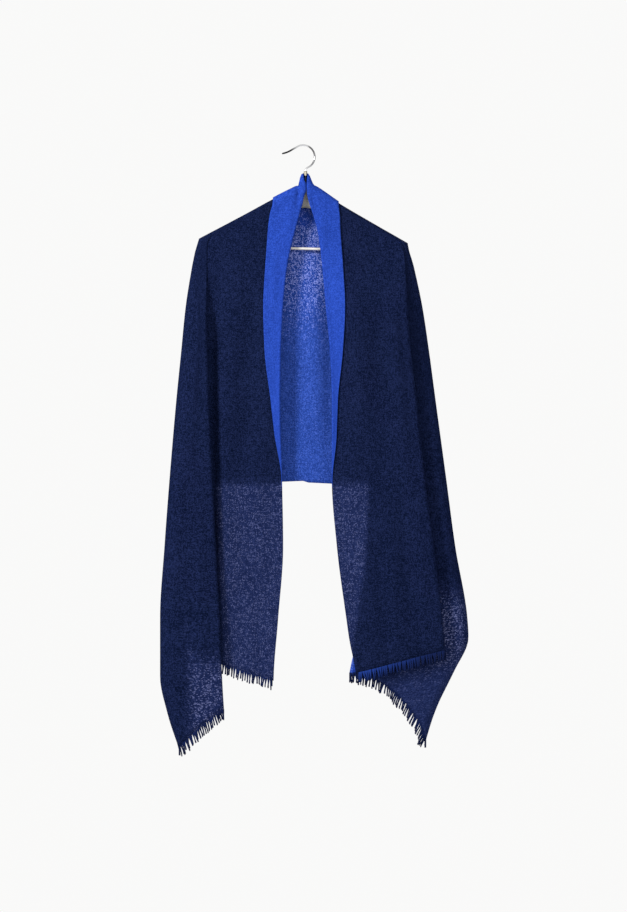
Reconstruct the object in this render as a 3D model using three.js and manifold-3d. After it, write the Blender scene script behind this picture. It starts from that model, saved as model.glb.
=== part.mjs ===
// A thin stole hung round a slim wooden hanger, as a three.js model in millimetres.
// +Z is up, +X is the viewer's right, and the viewer stands on the -Y side.
// The origin is the inside top of the hook, where a rail carries the hanger.
import * as THREE from 'three';
import { mergeVertices, toCreasedNormals } from 'three/addons/utils/BufferGeometryUtils.js';
import Module from 'manifold-3d';

const wasm = await Module();
wasm.setup();

// ---------------------------------------------------------------- driving sizes
const WALL = 1.6;               // cloth thickness
const SEAM = 0.3;               // gap between neighbouring pieces
const EDGE_SEAM = 0.45;         // the same, down the curved outer edges
const ARCH = 9;                 // radius of the cloth where it goes over the hanger
const COLLAR_LIFT = 5;          // how far the turned collar stands off the cloth under it
const STEM_X = 5.4;             // the hook's stem
const STEM_STEP = 5;            // how far the back's top edge steps behind it
const FRINGE_LENGTH = 17;       // loose warp ends below the cloth
const FRINGE_PITCH = 7;         // spacing of the tufts
const FRINGE_TURN = 0.8;        // how far the fringe follows the cloth round to its corner
const STRIP_HEIGHT = 3;         // the strip that the tufts are rooted in
const STRIP_GAP = 0.9;          // between that strip and the cloth's end
const TUFT = { root: 0.75, tip: 0.5, sway: 1.2 };   // radii of a tuft, and how far it leans
const WIRE = 3.5;               // hook wire diameter
const HOOK_RADIUS = 21;         // centre line of the hook's round part
const WOOD_THICKNESS = 10;      // hanger shoulders, front to back
const WOOD_DROP = 2;            // the wood's top edge, below the middle of the cloth's wall
const WOOD_TOP = -70;           // the wood's highest point, at the stem
const WOOD_BEVEL = 3;
const BAR_DIAMETER = 4.6;       // trouser bar
const FERRULE = { radius: 3.2, lip: 2.7, bottom: -54, shoulder: -47, top: -45 };

// ---------------------------------------------------------------- small helpers
const lerp = (a, b, k) => a + (b - a) * k;
const clamp01 = (k) => Math.min(1, Math.max(0, k));
const smooth = (k) => clamp01(k) ** 2 * (3 - 2 * clamp01(k));

// A table with named columns: each row becomes an object.
function table(names, rows) {
  const keys = names.trim().split(/\s+/);
  return rows.map((row) => Object.fromEntries(keys.map((key, i) => [key, row[i]])));
}

// Smooth (cubic Hermite) look-up of one column of a table against another.
function lookUp(rows, key, value, column) {
  const up = rows[0][key] < rows[rows.length - 1][key];
  const list = up ? rows : [...rows].reverse();
  const last = list.length - 1;
  if (value <= list[0][key]) return list[0][column];
  if (value >= list[last][key]) return list[last][column];
  let i = 0;
  while (list[i + 1][key] < value) i += 1;
  const slope = (j) => (list[j + 1][column] - list[j][column]) / (list[j + 1][key] - list[j][key]);
  const ease = (a, b) => (a * b <= 0 ? 0 : (2 * a * b) / (a + b));
  const span = list[i + 1][key] - list[i][key];
  const k = (value - list[i][key]) / span;
  const here = slope(i);
  const start = i > 0 ? ease(slope(i - 1), here) : here;
  const end = i < last - 1 ? ease(here, slope(i + 1)) : here;
  return (2 * k ** 3 - 3 * k ** 2 + 1) * list[i][column] + (k ** 3 - 2 * k ** 2 + k) * span * start
    + (3 * k ** 2 - 2 * k ** 3) * list[i + 1][column] + (k ** 3 - k ** 2) * span * end;
}

// ---------------------------------------------------------------- the cloth's lines
// The line over the shoulders where front and back part, from tip to tip.
const RIDGE = table('x z', [
  [-186, -167], [-100, -121.5], [-53, -96], [-29, -84.5], [-15, -78], [-6, -73], [0, -69],
  [5, -67], [11, -69], [16, -72], [31, -80.5], [53, -95], [65, -103], [120, -135.5], [189, -175],
]);

// Where each fold line lies at each height. From the neck outward the cloth runs
// roll -> outer fold -> inner fold -> edge round to the back, then
// edge -> pleat -> heel -> middle of the back. "cut" is the collar's free edge.
const LEFT = {
  way: -1,
  ridgeEnd: -186,
  neck: 0.5,
  lines: table('z cut roll outer inner edge pleat heel', [
    [-60, -50, 4, -150, -165, -186, -168, -178],
    [-86, -53, 4, -158, -168, -186, -168, -178],
    [-110, -56, -2, -166, -172, -186, -168, -178],
    [-150, -62, -11, -176, -172, -187, -168, -177],
    [-220, -67, -28, -183, -171, -199, -164, -177],
    [-290, -70.5, -35, -192, -172, -210, -156, -182],
    [-370, -68, -39, -198, -170, -218, -148, -184],
    [-460, -57, -40, -199, -167, -227, -142, -190],
    [-600, -44, -37, -199, -161, -239, -138, -199],
    [-720, -42, -35, -199, -155, -248, -138, -206],
    [-850, -52, -44, -199, -148, -256, -138, -214],
    [-955, -60, -52, -199, -144, -256, -138, -220],
    [-1020, -60, -53, -199, -140, -243, -138, -220],
    [-1085, -60, -54, -199, -134, -222, -138, -220],
  ]),
  depths: { first: -9, second: -18, third: -28, fourth: 27, fifth: 18, back: 9 },
  neckDepth: table('z y', [[-60, -9], [-600, -11], [-1085, -11]]),
  rampEnd: 0.6,
  hems: {
    first: [-961, -947, -932, -916],
    second: [-916, -965, -1013],
    third: [-1013, -1030, -1046, -1062],
    corner: -1088,
    fourth: [-1052, -858, -822, -846, -889],
    fifth: [-889, -800, -700],
    back: [-690, -612, -604],
  },
};
const RIGHT = {
  way: 1,
  ridgeEnd: 189,
  neck: 10.5,
  lines: table('z cut roll outer inner edge pleat heel', [
    [-60, 62, 6.8, 150, 165, 189, 172, 180],
    [-86, 64.5, 7, 160, 170, 189, 172, 180],
    [-110, 66.5, 15, 170, 174, 189, 172, 180],
    [-150, 68, 25, 178, 176, 190, 172, 180],
    [-220, 73, 36, 184.5, 172, 203, 172, 182],
    [-290, 76.5, 42, 188, 164, 216, 170, 190],
    [-370, 72.5, 49.5, 194, 150, 228, 168, 200],
    [-460, 63.5, 53, 204, 138, 240, 170, 212],
    [-600, 60, 53, 219, 123, 259, 188, 228],
    [-720, 70, 62, 235, 118, 275, 206, 242],
    [-850, 87, 79, 250, 102, 297, 224, 256],
    [-885, 92, 84, 253, 97, 299, 224, 256],
    [-950, 102, 96, 262, 84, 271, 224, 256],
    [-1020, 106, 100, 266, 74, 238, 224, 256],
    [-1085, 110, 104, 270, 64, 218, 224, 256],
  ]),
  depths: { first: -29, second: -20, third: -10, fourth: 26, fifth: 17.5, back: 9 },
  neckDepth: table('z y', [
    [-60, -9], [-300, -10], [-460, -13], [-600, -17], [-850, -26], [-950, -29], [-1085, -29],
  ]),
  rampEnd: 0.34,
  hems: {
    first: [-947, -934, -920, -907],
    second: [-907, -928, -948],
    third: [-948, -958, -978, -1006, -1040],
    corner: -1080,
    fourth: [-890, -812, -782, -775],
    fifth: [-775, -735, -690],
    back: [-680, -625, -608],
  },
};
const FOLDS_OPEN = 150;         // drop over which the folds open below the shoulder
const FOLDS_LEAD = 24;          // how far above the shoulder's tip they start to
// Where each stretch of a section stops on the ridge, measured in from its end.
const ON_RIDGE = { edge: 7, side: 18, fold: 26, tuck: 32, main: 40 };
const ROLL_ON_RIDGE = 3;        // the collar's roll, the same way out from the neck
// Shallow waves in the front panels and in the back, which grow from one height down.
const WAVES = { height: 2.2, bulge: 1.2, count: 2.5, pitch: 400, from: -170, over: 250 };
const BACK_WAVES = { height: 1.5, length: 24, phase: 0.8, from: -150, over: 400 };
// Drop over which the cloth leaves the ridge, and where along the ridge it grows.
const FAN = { neck: 16, shoulder: 80, from: 6, over: 45 };
const LAPEL_END = -592;         // where the turned collar runs out
const ROLL = { least: 0.5, from: -500, over: 200 };   // the roll's least radius, and where it tightens

// Radius of the collar's roll, which tightens to nothing below the collar.
const rollRadius = (z) => lerp(COLLAR_LIFT / 2, ROLL.least, smooth((ROLL.from - z) / ROLL.over));
const fanDrop = (x) => lerp(FAN.neck, FAN.shoulder, smooth((Math.abs(x - STEM_X) - FAN.from) / FAN.over));
const ridgeHeight = (x) => lookUp(RIDGE, 'x', x, 'z');
const QUARTER = (ARCH * Math.PI) / 2;   // cloth over half of the arch
const line = (side, name, z) => lookUp(side.lines, 'z', z, name);

// A list of values at equal shares, read at share k.
function spread(values, k) {
  const at = clamp01(k) * (values.length - 1);
  const i = Math.min(values.length - 2, Math.floor(at));
  return lerp(values[i], values[i + 1], at - i);
}

// Depth of one layer of the drop; every layer starts on the arch over the hanger.
function layerDepth(side, layer, z) {
  const full = side.depths[layer];
  const open = smooth((ridgeHeight(side.ridgeEnd) + FOLDS_LEAD - z) / FOLDS_OPEN);
  return lerp(Math.sign(full) * ARCH, full, open);
}

// The first layer leans from the collar's roll out to its fold, with soft waves.
function firstLayerDepth(side, z, k) {
  const neck = lookUp(side.neckDepth, 'z', z, 'y');
  const lean = lerp(neck, layerDepth(side, 'first', z), smooth(k / side.rampEnd));
  const hang = smooth((WAVES.from - z) / WAVES.over);
  const phase = k * WAVES.count * 2 * Math.PI + side.way + z / WAVES.pitch;
  const wave = WAVES.height * Math.sin(phase) * smooth(k * 4) * smooth((1 - k) * 4);
  return lean - hang * (wave + WAVES.bulge);
}

// ---------------------------------------------------------------- sections of the drop
// Each stretch of a section gives x, y and the hem height at share k.
function turn(side, z, name, from, to, k, opens) {
  const radius = Math.abs(to - from) / 2;
  const angle = Math.PI * k;
  const centre = line(side, name, z) - opens * radius;
  return {
    x: centre + opens * radius * Math.sin(angle),
    y: (from + to) / 2 - ((to - from) / 2) * Math.cos(angle),
  };
}

function run(side, z, layer, from, to, k) {
  return { x: lerp(from, to, k), y: layerDepth(side, layer, z) };
}

// Half the gap between two layers, which is the radius of the fold that joins them.
const gap = (side, a, b, z) => Math.abs(layerDepth(side, a, z) - layerDepth(side, b, z)) / 2;

// The place on the ridge where a stretch of this side stops.
const onRidge = (side, stop) => side.ridgeEnd - side.way * ON_RIDGE[stop];

// A fold round a line, as two half turns that part by a seam at its middle.
function fold(side, name, opens, from, to, ridge, hem) {
  const middle = lerp(ridge[0], ridge[1], 0.5);
  const seam = (Math.sign(ridge[1] - ridge[0]) * SEAM) / 2;
  const share = (z) => Math.min(0.25, SEAM / 2 / Math.PI / (Math.abs(to(z) - from(z)) / 2));
  const half = (ends, hems, start, end) => ({
    steps: 2,
    ridge: ends,
    hem: hems,
    at: (z, k) => turn(side, z, name, from(z), to(z), lerp(start(z), end(z), k), opens),
  });
  const hemMiddle = spread(hem, 0.5);
  return [
    half([ridge[0], middle - seam], [hem[0], hemMiddle], () => 0, (z) => 0.5 - share(z)),
    half([middle + seam, ridge[1]], [hemMiddle, hem[1]], (z) => 0.5 + share(z), () => 1),
  ];
}

// The outer edge, where the front turns into the back: each takes one half of the turn.
function edgeTurn(side, z, share) {
  const seam = EDGE_SEAM / 2 / gap(side, 'third', 'fourth', z) / Math.PI;
  const start = share < 0.5 ? 0 : 0.5 + seam;
  const end = share < 0.5 ? 0.5 - seam : 1;
  const [front, back] = ['third', 'fourth'].map((layer) => layerDepth(side, layer, z));
  return (k) => turn(side, z, 'edge', front, back, lerp(start, end, k), side.way);
}

// Where a layer leaves the fold at the named line.
const foldEnd = (side, name, a, b, opens, z) => line(side, name, z) - side.way * opens * gap(side, a, b, z);

// The front half of a drop, layer by layer, from the collar's roll to the outer edge.
function frontPanels(side) {
  const { way, hems, neck, ridgeEnd } = side;
  const depth = (layer) => (z) => layerDepth(side, layer, z);
  const rollEnd = (z) => line(side, 'roll', z) + way * rollRadius(z);
  const outerEnd = (z) => foldEnd(side, 'outer', 'first', 'second', 1, z);
  const innerStart = (z) => foldEnd(side, 'inner', 'second', 'third', -1, z);
  const roll = {
    steps: 2,
    ridge: [neck, neck + way * ROLL_ON_RIDGE],
    hem: [hems.first[0], hems.first[0]],
    at(z, k) {
      const radius = rollRadius(z);
      const angle = (Math.PI / 2) * k + (SEAM / 2 / radius) * (1 - k);
      return {
        x: line(side, 'roll', z) + way * radius * (1 - Math.cos(angle)),
        y: firstLayerDepth(side, z, 0) - radius * (1 - Math.sin(angle)),
      };
    },
  };
  const first = {
    steps: 10,
    ease: 1.4,
    ridge: [neck + way * ROLL_ON_RIDGE, onRidge(side, 'main')],
    hem: hems.first,
    at: (z, k) => ({ x: lerp(rollEnd(z), outerEnd(z), k), y: firstLayerDepth(side, z, k) }),
  };
  const [outerIn, outerOut] = fold(
    side, 'outer', way, (z) => firstLayerDepth(side, z, 1), depth('second'),
    [onRidge(side, 'main'), onRidge(side, 'tuck')], [hems.second[0], hems.second[0]],
  );
  const second = {
    steps: 3,
    ridge: [onRidge(side, 'tuck'), onRidge(side, 'fold')],
    hem: hems.second,
    at: (z, k) => run(side, z, 'second', outerEnd(z), innerStart(z), k),
  };
  const [innerIn, innerOut] = fold(
    side, 'inner', -way, depth('second'), depth('third'),
    [onRidge(side, 'fold'), onRidge(side, 'side')], [hems.third[0], hems.third[0]],
  );
  const third = {
    steps: 5,
    ridge: [onRidge(side, 'side'), onRidge(side, 'edge')],
    hem: hems.third,
    at: (z, k) => run(side, z, 'third', innerStart(z), foldEnd(side, 'edge', 'third', 'fourth', 1, z), k),
  };
  const edge = {
    steps: 3,
    ridge: [onRidge(side, 'edge'), ridgeEnd],
    hem: [hems.third[hems.third.length - 1], hems.corner],
    at: (z, k) => edgeTurn(side, z, 0)(k),
  };
  return { front: [roll, first, outerIn], tuck: [outerOut, second, innerIn], side: [innerOut, third, edge] };
}

// The back half of a drop, from the outer edge to the middle of the back.
function backPanels(side) {
  const { hems, ridgeEnd } = side;
  const depth = (layer) => (z) => layerDepth(side, layer, z);
  const pleatStart = (z) => foldEnd(side, 'pleat', 'fourth', 'fifth', -1, z);
  const heelEnd = (z) => foldEnd(side, 'heel', 'fifth', 'back', 1, z);
  const edge = {
    steps: 3,
    ridge: [ridgeEnd, onRidge(side, 'edge')],
    hem: [hems.corner, hems.fourth[0]],
    at: (z, k) => edgeTurn(side, z, 1)(k),
  };
  const fourth = {
    steps: 4,
    ridge: [onRidge(side, 'edge'), onRidge(side, 'side')],
    hem: hems.fourth,
    at: (z, k) => run(side, z, 'fourth', foldEnd(side, 'edge', 'third', 'fourth', 1, z), pleatStart(z), k),
  };
  const [pleatIn, pleatOut] = fold(
    side, 'pleat', -side.way, depth('fourth'), depth('fifth'),
    [onRidge(side, 'side'), onRidge(side, 'fold')], [hems.fifth[0], hems.fifth[0]],
  );
  const fifth = {
    steps: 3,
    ridge: [onRidge(side, 'fold'), onRidge(side, 'tuck')],
    hem: hems.fifth,
    at: (z, k) => run(side, z, 'fifth', pleatStart(z), heelEnd(z), k),
  };
  const [heelIn, heelOut] = fold(
    side, 'heel', side.way, depth('fifth'), depth('back'),
    [onRidge(side, 'tuck'), onRidge(side, 'main')], [hems.fifth[hems.fifth.length - 1], hems.back[0]],
  );
  const middle = {
    steps: 8,
    ease: 0.75,
    ridge: [onRidge(side, 'main'), STEM_X],
    hem: hems.back,
    at(z, k) {
      const x = lerp(heelEnd(z), STEM_X, k);
      return { x, y: backDepth(x, z) };
    },
  };
  return { side: [edge, fourth, pleatIn], tuck: [pleatOut, fifth, heelIn], middle: [heelOut, middle] };
}

// The middle of the back hangs flat, with shallow waves that grow towards the hem.
function backDepth(x, z) {
  const hang = smooth((BACK_WAVES.from - z) / BACK_WAVES.over);
  return ARCH + hang * BACK_WAVES.height * (1 + Math.sin(x / BACK_WAVES.length + BACK_WAVES.phase));
}

// All the columns of a panel: the stretches are joined end to end. One more column
// at each end leads the wall's direction past its edge and isn't built. It runs on
// round a fold, or turns back along the ridge at an edge that "edges" marks.
function columnsOf(stretches, edges = { start: false, end: false }) {
  const columns = [];
  const last = stretches.length - 1;
  stretches.forEach((stretch, index) => {
    const from = index === 0 ? -1 : 1;
    const to = stretch.steps + (index === last ? 1 : 0);
    for (let i = from; i <= to; i += 1) columns.push(columnAt(stretch, i / stretch.steps, edges));
  });
  return columns;
}

function columnAt(stretch, step, edges) {
  const k = step < 0 || step > 1 ? step : step ** (stretch.ease ?? 1);
  let along = k;
  if (k < 0 && edges.start) along = -k;
  if (k > 1 && edges.end) along = 2 - k;
  const ridgeX = lerp(stretch.ridge[0], stretch.ridge[1], along);
  return { ridgeX, top: ridgeHeight(ridgeX), hem: spread(stretch.hem, k), at: (z) => stretch.at(z, k) };
}

// Behind the stem the top edge of the back steps clear of it.
const stemRoom = (x) => STEM_STEP * smooth(1 - Math.abs(x - STEM_X) / ARCH);

// A point of a column, by the length of cloth from the ridge.
function onColumn(column, length, facing) {
  const angle = Math.min(length, QUARTER) / ARCH;
  const drop = ARCH * (1 - Math.cos(angle)) + Math.max(0, length - QUARTER);
  const z = column.top - drop;
  const section = column.at(z);
  const start = facing * (SEAM / 2 + (facing > 0 ? stemRoom(column.ridgeX) : 0));
  return new THREE.Vector3(
    lerp(column.ridgeX, section.x, smooth(drop / fanDrop(column.ridgeX))),
    lerp(start, section.y, Math.sin(angle)),
    z,
  );
}

const columnLength = (column) => QUARTER + (column.top - ARCH - column.hem);

// ---------------------------------------------------------------- walls from grids
// Turns a grid of points (rows of columns) into a closed wall, WALL thick. The
// outermost ring of the grid only leads the wall's direction and isn't built.
function wallFromGrid(grid) {
  const rows = grid.length - 2;
  const columns = grid[0].length - 2;
  const direction = (a, b) => new THREE.Vector3().subVectors(b, a).normalize();
  const positions = [];
  for (const sign of [1, -1]) {
    for (let i = 1; i <= rows; i += 1) {
      for (let j = 1; j <= columns; j += 1) {
        const here = grid[i][j];
        const through = (before, after) => direction(before, here).add(direction(here, after));
        const down = through(grid[i - 1][j], grid[i + 1][j]);
        const along = through(grid[i][j - 1], grid[i][j + 1]);
        const normal = new THREE.Vector3().crossVectors(down, along).normalize();
        const point = here.clone().addScaledVector(normal, (sign * WALL) / 2);
        positions.push(point.x, point.y, point.z);
      }
    }
  }
  const id = (side, i, j) => side * rows * columns + i * columns + j;
  const faces = [];
  const quad = (a, b, c, d) => faces.push(a, b, c, a, c, d);
  for (let i = 0; i < rows - 1; i += 1) {
    for (let j = 0; j < columns - 1; j += 1) {
      quad(id(0, i, j), id(0, i + 1, j), id(0, i + 1, j + 1), id(0, i, j + 1));
      quad(id(1, i, j), id(1, i, j + 1), id(1, i + 1, j + 1), id(1, i + 1, j));
    }
  }
  for (let i = 0; i < rows - 1; i += 1) {
    quad(id(0, i, 0), id(1, i, 0), id(1, i + 1, 0), id(0, i + 1, 0));
    quad(id(0, i, columns - 1), id(0, i + 1, columns - 1), id(1, i + 1, columns - 1), id(1, i, columns - 1));
  }
  for (let j = 0; j < columns - 1; j += 1) {
    quad(id(0, 0, j), id(0, 0, j + 1), id(1, 0, j + 1), id(1, 0, j));
    quad(id(0, rows - 1, j), id(1, rows - 1, j), id(1, rows - 1, j + 1), id(0, rows - 1, j + 1));
  }
  return facingOut(positions, faces);
}

// Turns the faces round if the closed mesh is inside out.
function facingOut(positions, faces) {
  const point = (n) => new THREE.Vector3().fromArray(positions, faces[n] * 3);
  let volume = 0;
  for (let n = 0; n < faces.length; n += 3) {
    volume += point(n).dot(point(n + 1).cross(point(n + 2)));
  }
  if (volume < 0) {
    for (let n = 0; n < faces.length; n += 3) [faces[n], faces[n + 1]] = [faces[n + 1], faces[n]];
  }
  const geometry = new THREE.BufferGeometry();
  geometry.setAttribute('position', new THREE.Float32BufferAttribute(positions, 3));
  geometry.setIndex(faces);
  return geometry;
}

// Rows lie closer together near the shoulders, where the folds open.
const downShare = (k) => k ** 1.4;

// Rows over the arch, then down to the hem, and one past each end.
function panelGrid(columns, facing, archRows, dropRows) {
  const grid = [];
  for (let i = -1; i <= archRows + dropRows + 1; i += 1) {
    grid.push(columns.map((column) => {
      const rest = columnLength(column) - QUARTER;
      const length = i <= archRows
        ? (QUARTER * i) / archRows
        : QUARTER + rest * downShare((i - archRows) / dropRows);
      return onColumn(column, length, facing);
    }));
  }
  return grid;
}

// ---------------------------------------------------------------- collar
const COLLAR_EDGE_LIFT = 3.4;   // the collar lies closest at its free edge
const COLLAR_PEAK = 14;         // how far it stands up over the ridge beside the stem
const PEAK_REACH = 13;          // and how far to each side that reaches
const CUT_ON_RIDGE = { left: -53, right: 65 };

// The collar's free edge behind the neck.
const BACK_CUT = table('x z', [[-53, -103], [-31, -126], [5, -144], [40, -126], [65, -109]]);

// The collar's height over the ridge falls quickly away from the stem.
const collarRise = (x, lift) => (
  lift + (COLLAR_PEAK - COLLAR_LIFT) * smooth(1 - Math.abs(x - STEM_X) / PEAK_REACH)
);

// A point of a front collar: the turn over the ridge is a quarter of an ellipse.
function onCollar(column, share, fall) {
  const angle = (Math.PI / 2) * share;
  const rise = collarRise(column.ridgeX, column.lift);
  const drop = (ARCH + rise) * (1 - Math.cos(angle)) + fall;
  const z = column.top + rise - drop;
  const section = column.at(z);
  return new THREE.Vector3(
    lerp(column.ridgeX, section.x, smooth((drop - rise) / fanDrop(column.ridgeX))),
    lerp(-SEAM / 2, section.y, Math.sin(angle)),
    z,
  );
}

function collarColumns(side, cutOnRidge) {
  const { way, neck } = side;
  const columns = [];
  const add = (ridgeX, lift, at) => {
    columns.push({ ridgeX, lift, top: ridgeHeight(ridgeX), at });
  };
  for (const k of [-0.5, 0, 0.5, 1]) {
    const at = (z) => {
      const radius = rollRadius(z);
      const angle = (Math.PI / 2) * (1 - k) - (SEAM / 2 / radius) * (1 - k);
      return {
        x: line(side, 'roll', z) + way * radius * (1 - Math.sin(angle)),
        y: firstLayerDepth(side, z, 0) - radius * (1 + Math.cos(angle)),
      };
    };
    add(neck + way * ROLL_ON_RIDGE * Math.abs(k), (COLLAR_LIFT / 2) * (1 + Math.abs(k)), at);
  }
  for (const k of [0.25, 0.5, 0.75, 1, 1.25]) {
    const at = (z) => {
      const start = line(side, 'roll', z) + way * rollRadius(z);
      const outer = line(side, 'outer', z) - way * gap(side, 'first', 'second', z);
      const x = lerp(start, line(side, 'cut', z), k);
      const lift = lerp(2 * rollRadius(z), COLLAR_EDGE_LIFT, k);
      return { x, y: firstLayerDepth(side, z, (x - start) / (outer - start)) - lift };
    };
    add(lerp(neck + way * ROLL_ON_RIDGE, cutOnRidge, k), lerp(COLLAR_LIFT, COLLAR_EDGE_LIFT, k), at);
  }
  return columns;
}

function collarGrid(side, cutOnRidge, rows) {
  const columns = collarColumns(side, cutOnRidge);
  const grid = [];
  for (let i = -1; i <= rows.arch + rows.drop + 1; i += 1) {
    grid.push(columns.map((column) => {
      const rest = column.top - ARCH - LAPEL_END;
      const below = i - rows.arch;
      return onCollar(column, Math.min(1, i / rows.arch), rest * downShare(Math.max(0, below / rows.drop)));
    }));
  }
  return grid;
}

// The collar behind the neck hangs outside the back panel.
function backCollarGrid(across, down) {
  const grid = [];
  for (let i = -1; i <= down + 1; i += 1) {
    const row = [];
    for (let j = -1; j <= across + 1; j += 1) {
      const x = lerp(CUT_ON_RIDGE.left, CUT_ON_RIDGE.right, j / across);
      const half = x < STEM_X ? STEM_X - CUT_ON_RIDGE.left : CUT_ON_RIDGE.right - STEM_X;
      const lift = lerp(COLLAR_LIFT, COLLAR_EDGE_LIFT, Math.abs(x - STEM_X) / half);
      const rise = collarRise(x, lift);
      const top = ridgeHeight(x) + rise;
      const fall = top - lookUp(BACK_CUT, 'x', x, 'z');
      const radius = ARCH + lift;
      const whole = fall < radius
        ? radius * Math.acos(1 - fall / radius)
        : (radius * Math.PI) / 2 + fall - radius;
      const length = (whole * i) / down;
      const angle = Math.min(length / radius, Math.PI / 2);
      const z = top - radius * (1 - Math.cos(angle)) - Math.max(0, length - (radius * Math.PI) / 2);
      const start = SEAM / 2 + stemRoom(x);
      row.push(new THREE.Vector3(x, lerp(start, backDepth(x, z) + lift, Math.sin(angle)), z));
    }
    grid.push(row);
  }
  return grid;
}

// ---------------------------------------------------------------- fringe
function toSolid(geometry) {
  const bare = new THREE.BufferGeometry();
  bare.setAttribute('position', geometry.getAttribute('position'));
  if (geometry.index) bare.setIndex(geometry.index);
  const merged = mergeVertices(bare, 1e-5);
  return new wasm.Manifold(new wasm.Mesh({
    numProp: 3,
    vertProperties: new Float32Array(merged.getAttribute('position').array),
    triVerts: new Uint32Array(merged.index.array),
  }));
}

function toGeometry(solid) {
  const mesh = solid.getMesh();
  const geometry = new THREE.BufferGeometry();
  geometry.setAttribute('position', new THREE.BufferAttribute(new Float32Array(mesh.vertProperties), 3));
  geometry.setIndex(new THREE.BufferAttribute(new Uint32Array(mesh.triVerts), 1));
  return geometry;
}

// One tuft: a tapering three-sided prism from root to tip.
function tuft(root, tip, thick, thin) {
  const positions = [];
  for (const [end, radius] of [[root, thick], [tip, thin]]) {
    for (let i = 0; i < 3; i += 1) {
      const angle = (i * 2 * Math.PI) / 3 + 0.5;
      positions.push(end.x + radius * Math.cos(angle), end.y + radius * Math.sin(angle), end.z);
    }
  }
  const faces = [0, 2, 1, 3, 4, 5];
  for (let i = 0; i < 3; i += 1) {
    const j = (i + 1) % 3;
    faces.push(i, j, j + 3, i, j + 3, i + 3);
  }
  return facingOut(positions, faces);
}

function fringe(side) {
  const stretches = Object.values(frontPanels(side)).flat();
  const corner = stretches[stretches.length - 1];
  const shortCorner = { ...corner, steps: 1, at: (z, k) => corner.at(z, k * FRINGE_TURN) };
  const rooted = [...stretches.slice(0, -1), shortCorner];
  const columns = columnsOf(rooted, { start: true, end: true });
  const strip = [-STRIP_HEIGHT, 0, STRIP_HEIGHT, 2 * STRIP_HEIGHT].map((below) => (
    columns.map((column) => onColumn(column, columnLength(column) + STRIP_GAP + below, -1))
  ));
  let solid = toSolid(wallFromGrid(strip));
  const edge = strip[2].slice(1, -1);
  let travelled = 0;
  let next = FRINGE_PITCH / 2;
  let count = 0;
  for (let j = 0; j < edge.length - 1; j += 1) {
    const reach = edge[j].distanceTo(edge[j + 1]);
    while (next < travelled + reach) {
      const k = (next - travelled) / reach;
      const root = edge[j].clone().lerp(edge[j + 1], k);
      const uneven = Math.sin(count * 2.3) + Math.sin(count * 0.9 + 1);
      const tip = root.clone();
      tip.z -= FRINGE_LENGTH - STRIP_HEIGHT + uneven;
      tip.x += TUFT.sway * Math.sin(count * 1.7);
      root.z += 0.8 * STRIP_HEIGHT;
      solid = solid.add(toSolid(tuft(root, tip, TUFT.root, TUFT.tip)));
      count += 1;
      next += FRINGE_PITCH;
    }
    travelled += reach;
  }
  return toGeometry(solid);
}

// ---------------------------------------------------------------- hanger
const HOOK_CENTRE_X = 0.9;
const HOOK_ARC = table('degrees', [[128], [108], [88], [68], [48], [28], [8], [-12], [-32], [-50]]);
const HOOK_FLARE = table('x z', [[-37, -14], [-26, -10.5]]);
const HOOK_STEM = table('x z', [[7.6, -40], [STEM_X, -44], [STEM_X, -50], [STEM_X, WOOD_TOP + SEAM]]);

function hookGeometry() {
  const centre = new THREE.Vector3(HOOK_CENTRE_X, 0, WIRE / 2 - HOOK_RADIUS);
  const onCircle = ({ degrees }) => {
    const angle = THREE.MathUtils.degToRad(degrees);
    return new THREE.Vector3(
      centre.x + HOOK_RADIUS * Math.cos(angle), 0, centre.z + HOOK_RADIUS * Math.sin(angle),
    );
  };
  const inPlane = ({ x, z }) => new THREE.Vector3(x, 0, z);
  const path = new THREE.CatmullRomCurve3([
    ...HOOK_FLARE.map(inPlane), ...HOOK_ARC.map(onCircle), ...HOOK_STEM.map(inPlane),
  ]);
  const section = new THREE.Shape(new THREE.EllipseCurve(0, 0, WIRE / 2, WIRE / 2).getPoints(8).slice(0, 8));
  return new THREE.ExtrudeGeometry(section, { steps: 40, bevelEnabled: false, extrudePath: path });
}

// A ring round the foot of the stem.
function ferruleGeometry() {
  const { radius, lip, bottom, shoulder, top } = FERRULE;
  const bore = WIRE / 2 + SEAM;
  const outside = [[radius, bottom], [radius, shoulder], [lip, top]];
  const profile = [[bore, bottom], ...outside, [bore, top], [bore, bottom]];
  const points = profile.map(([out, height]) => new THREE.Vector2(out, height));
  return new THREE.LatheGeometry(points, 12).rotateX(Math.PI / 2).translate(STEM_X, 0, 0);
}

// The wood's outline: along the cloth's ridge, round each tip, and back under the arms,
// with a notch that holds the bar at each end.
const WOOD_STATIONS = {
  left: [-178, -110, -53, -29, -15, -6],
  neck: [2, 9],
  right: [16, 31, 53, 85, 120, 181],
};
const WOOD_UNDER = table('x z', [
  [183.5, -183], [182, -195], [176, -200], [162, -200], [162, -183], [150, -178], [70, -133], [38, -116],
  [5, -111], [-27, -114], [-60, -127], [-145, -170], [-156, -175], [-156, -190], [-170, -190],
  [-178, -186], [-181, -176],
]);

function shouldersGeometry() {
  const below = (x) => new THREE.Vector2(x, ridgeHeight(x) - WOOD_DROP);
  const shape = new THREE.Shape([
    ...WOOD_STATIONS.left.map(below),
    ...WOOD_STATIONS.neck.map((x) => new THREE.Vector2(x, WOOD_TOP)),
    ...WOOD_STATIONS.right.map(below),
    ...WOOD_UNDER.map(({ x, z }) => new THREE.Vector2(x, z)),
  ]);
  return new THREE.ExtrudeGeometry(shape, {
    depth: WOOD_THICKNESS - 2 * WOOD_BEVEL,
    bevelThickness: WOOD_BEVEL,
    bevelSize: WOOD_BEVEL,
    bevelOffset: -WOOD_BEVEL,
    bevelSegments: 2,
    steps: 1,
  }).rotateX(Math.PI / 2).translate(0, WOOD_THICKNESS / 2 - WOOD_BEVEL, 0);
}

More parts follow.
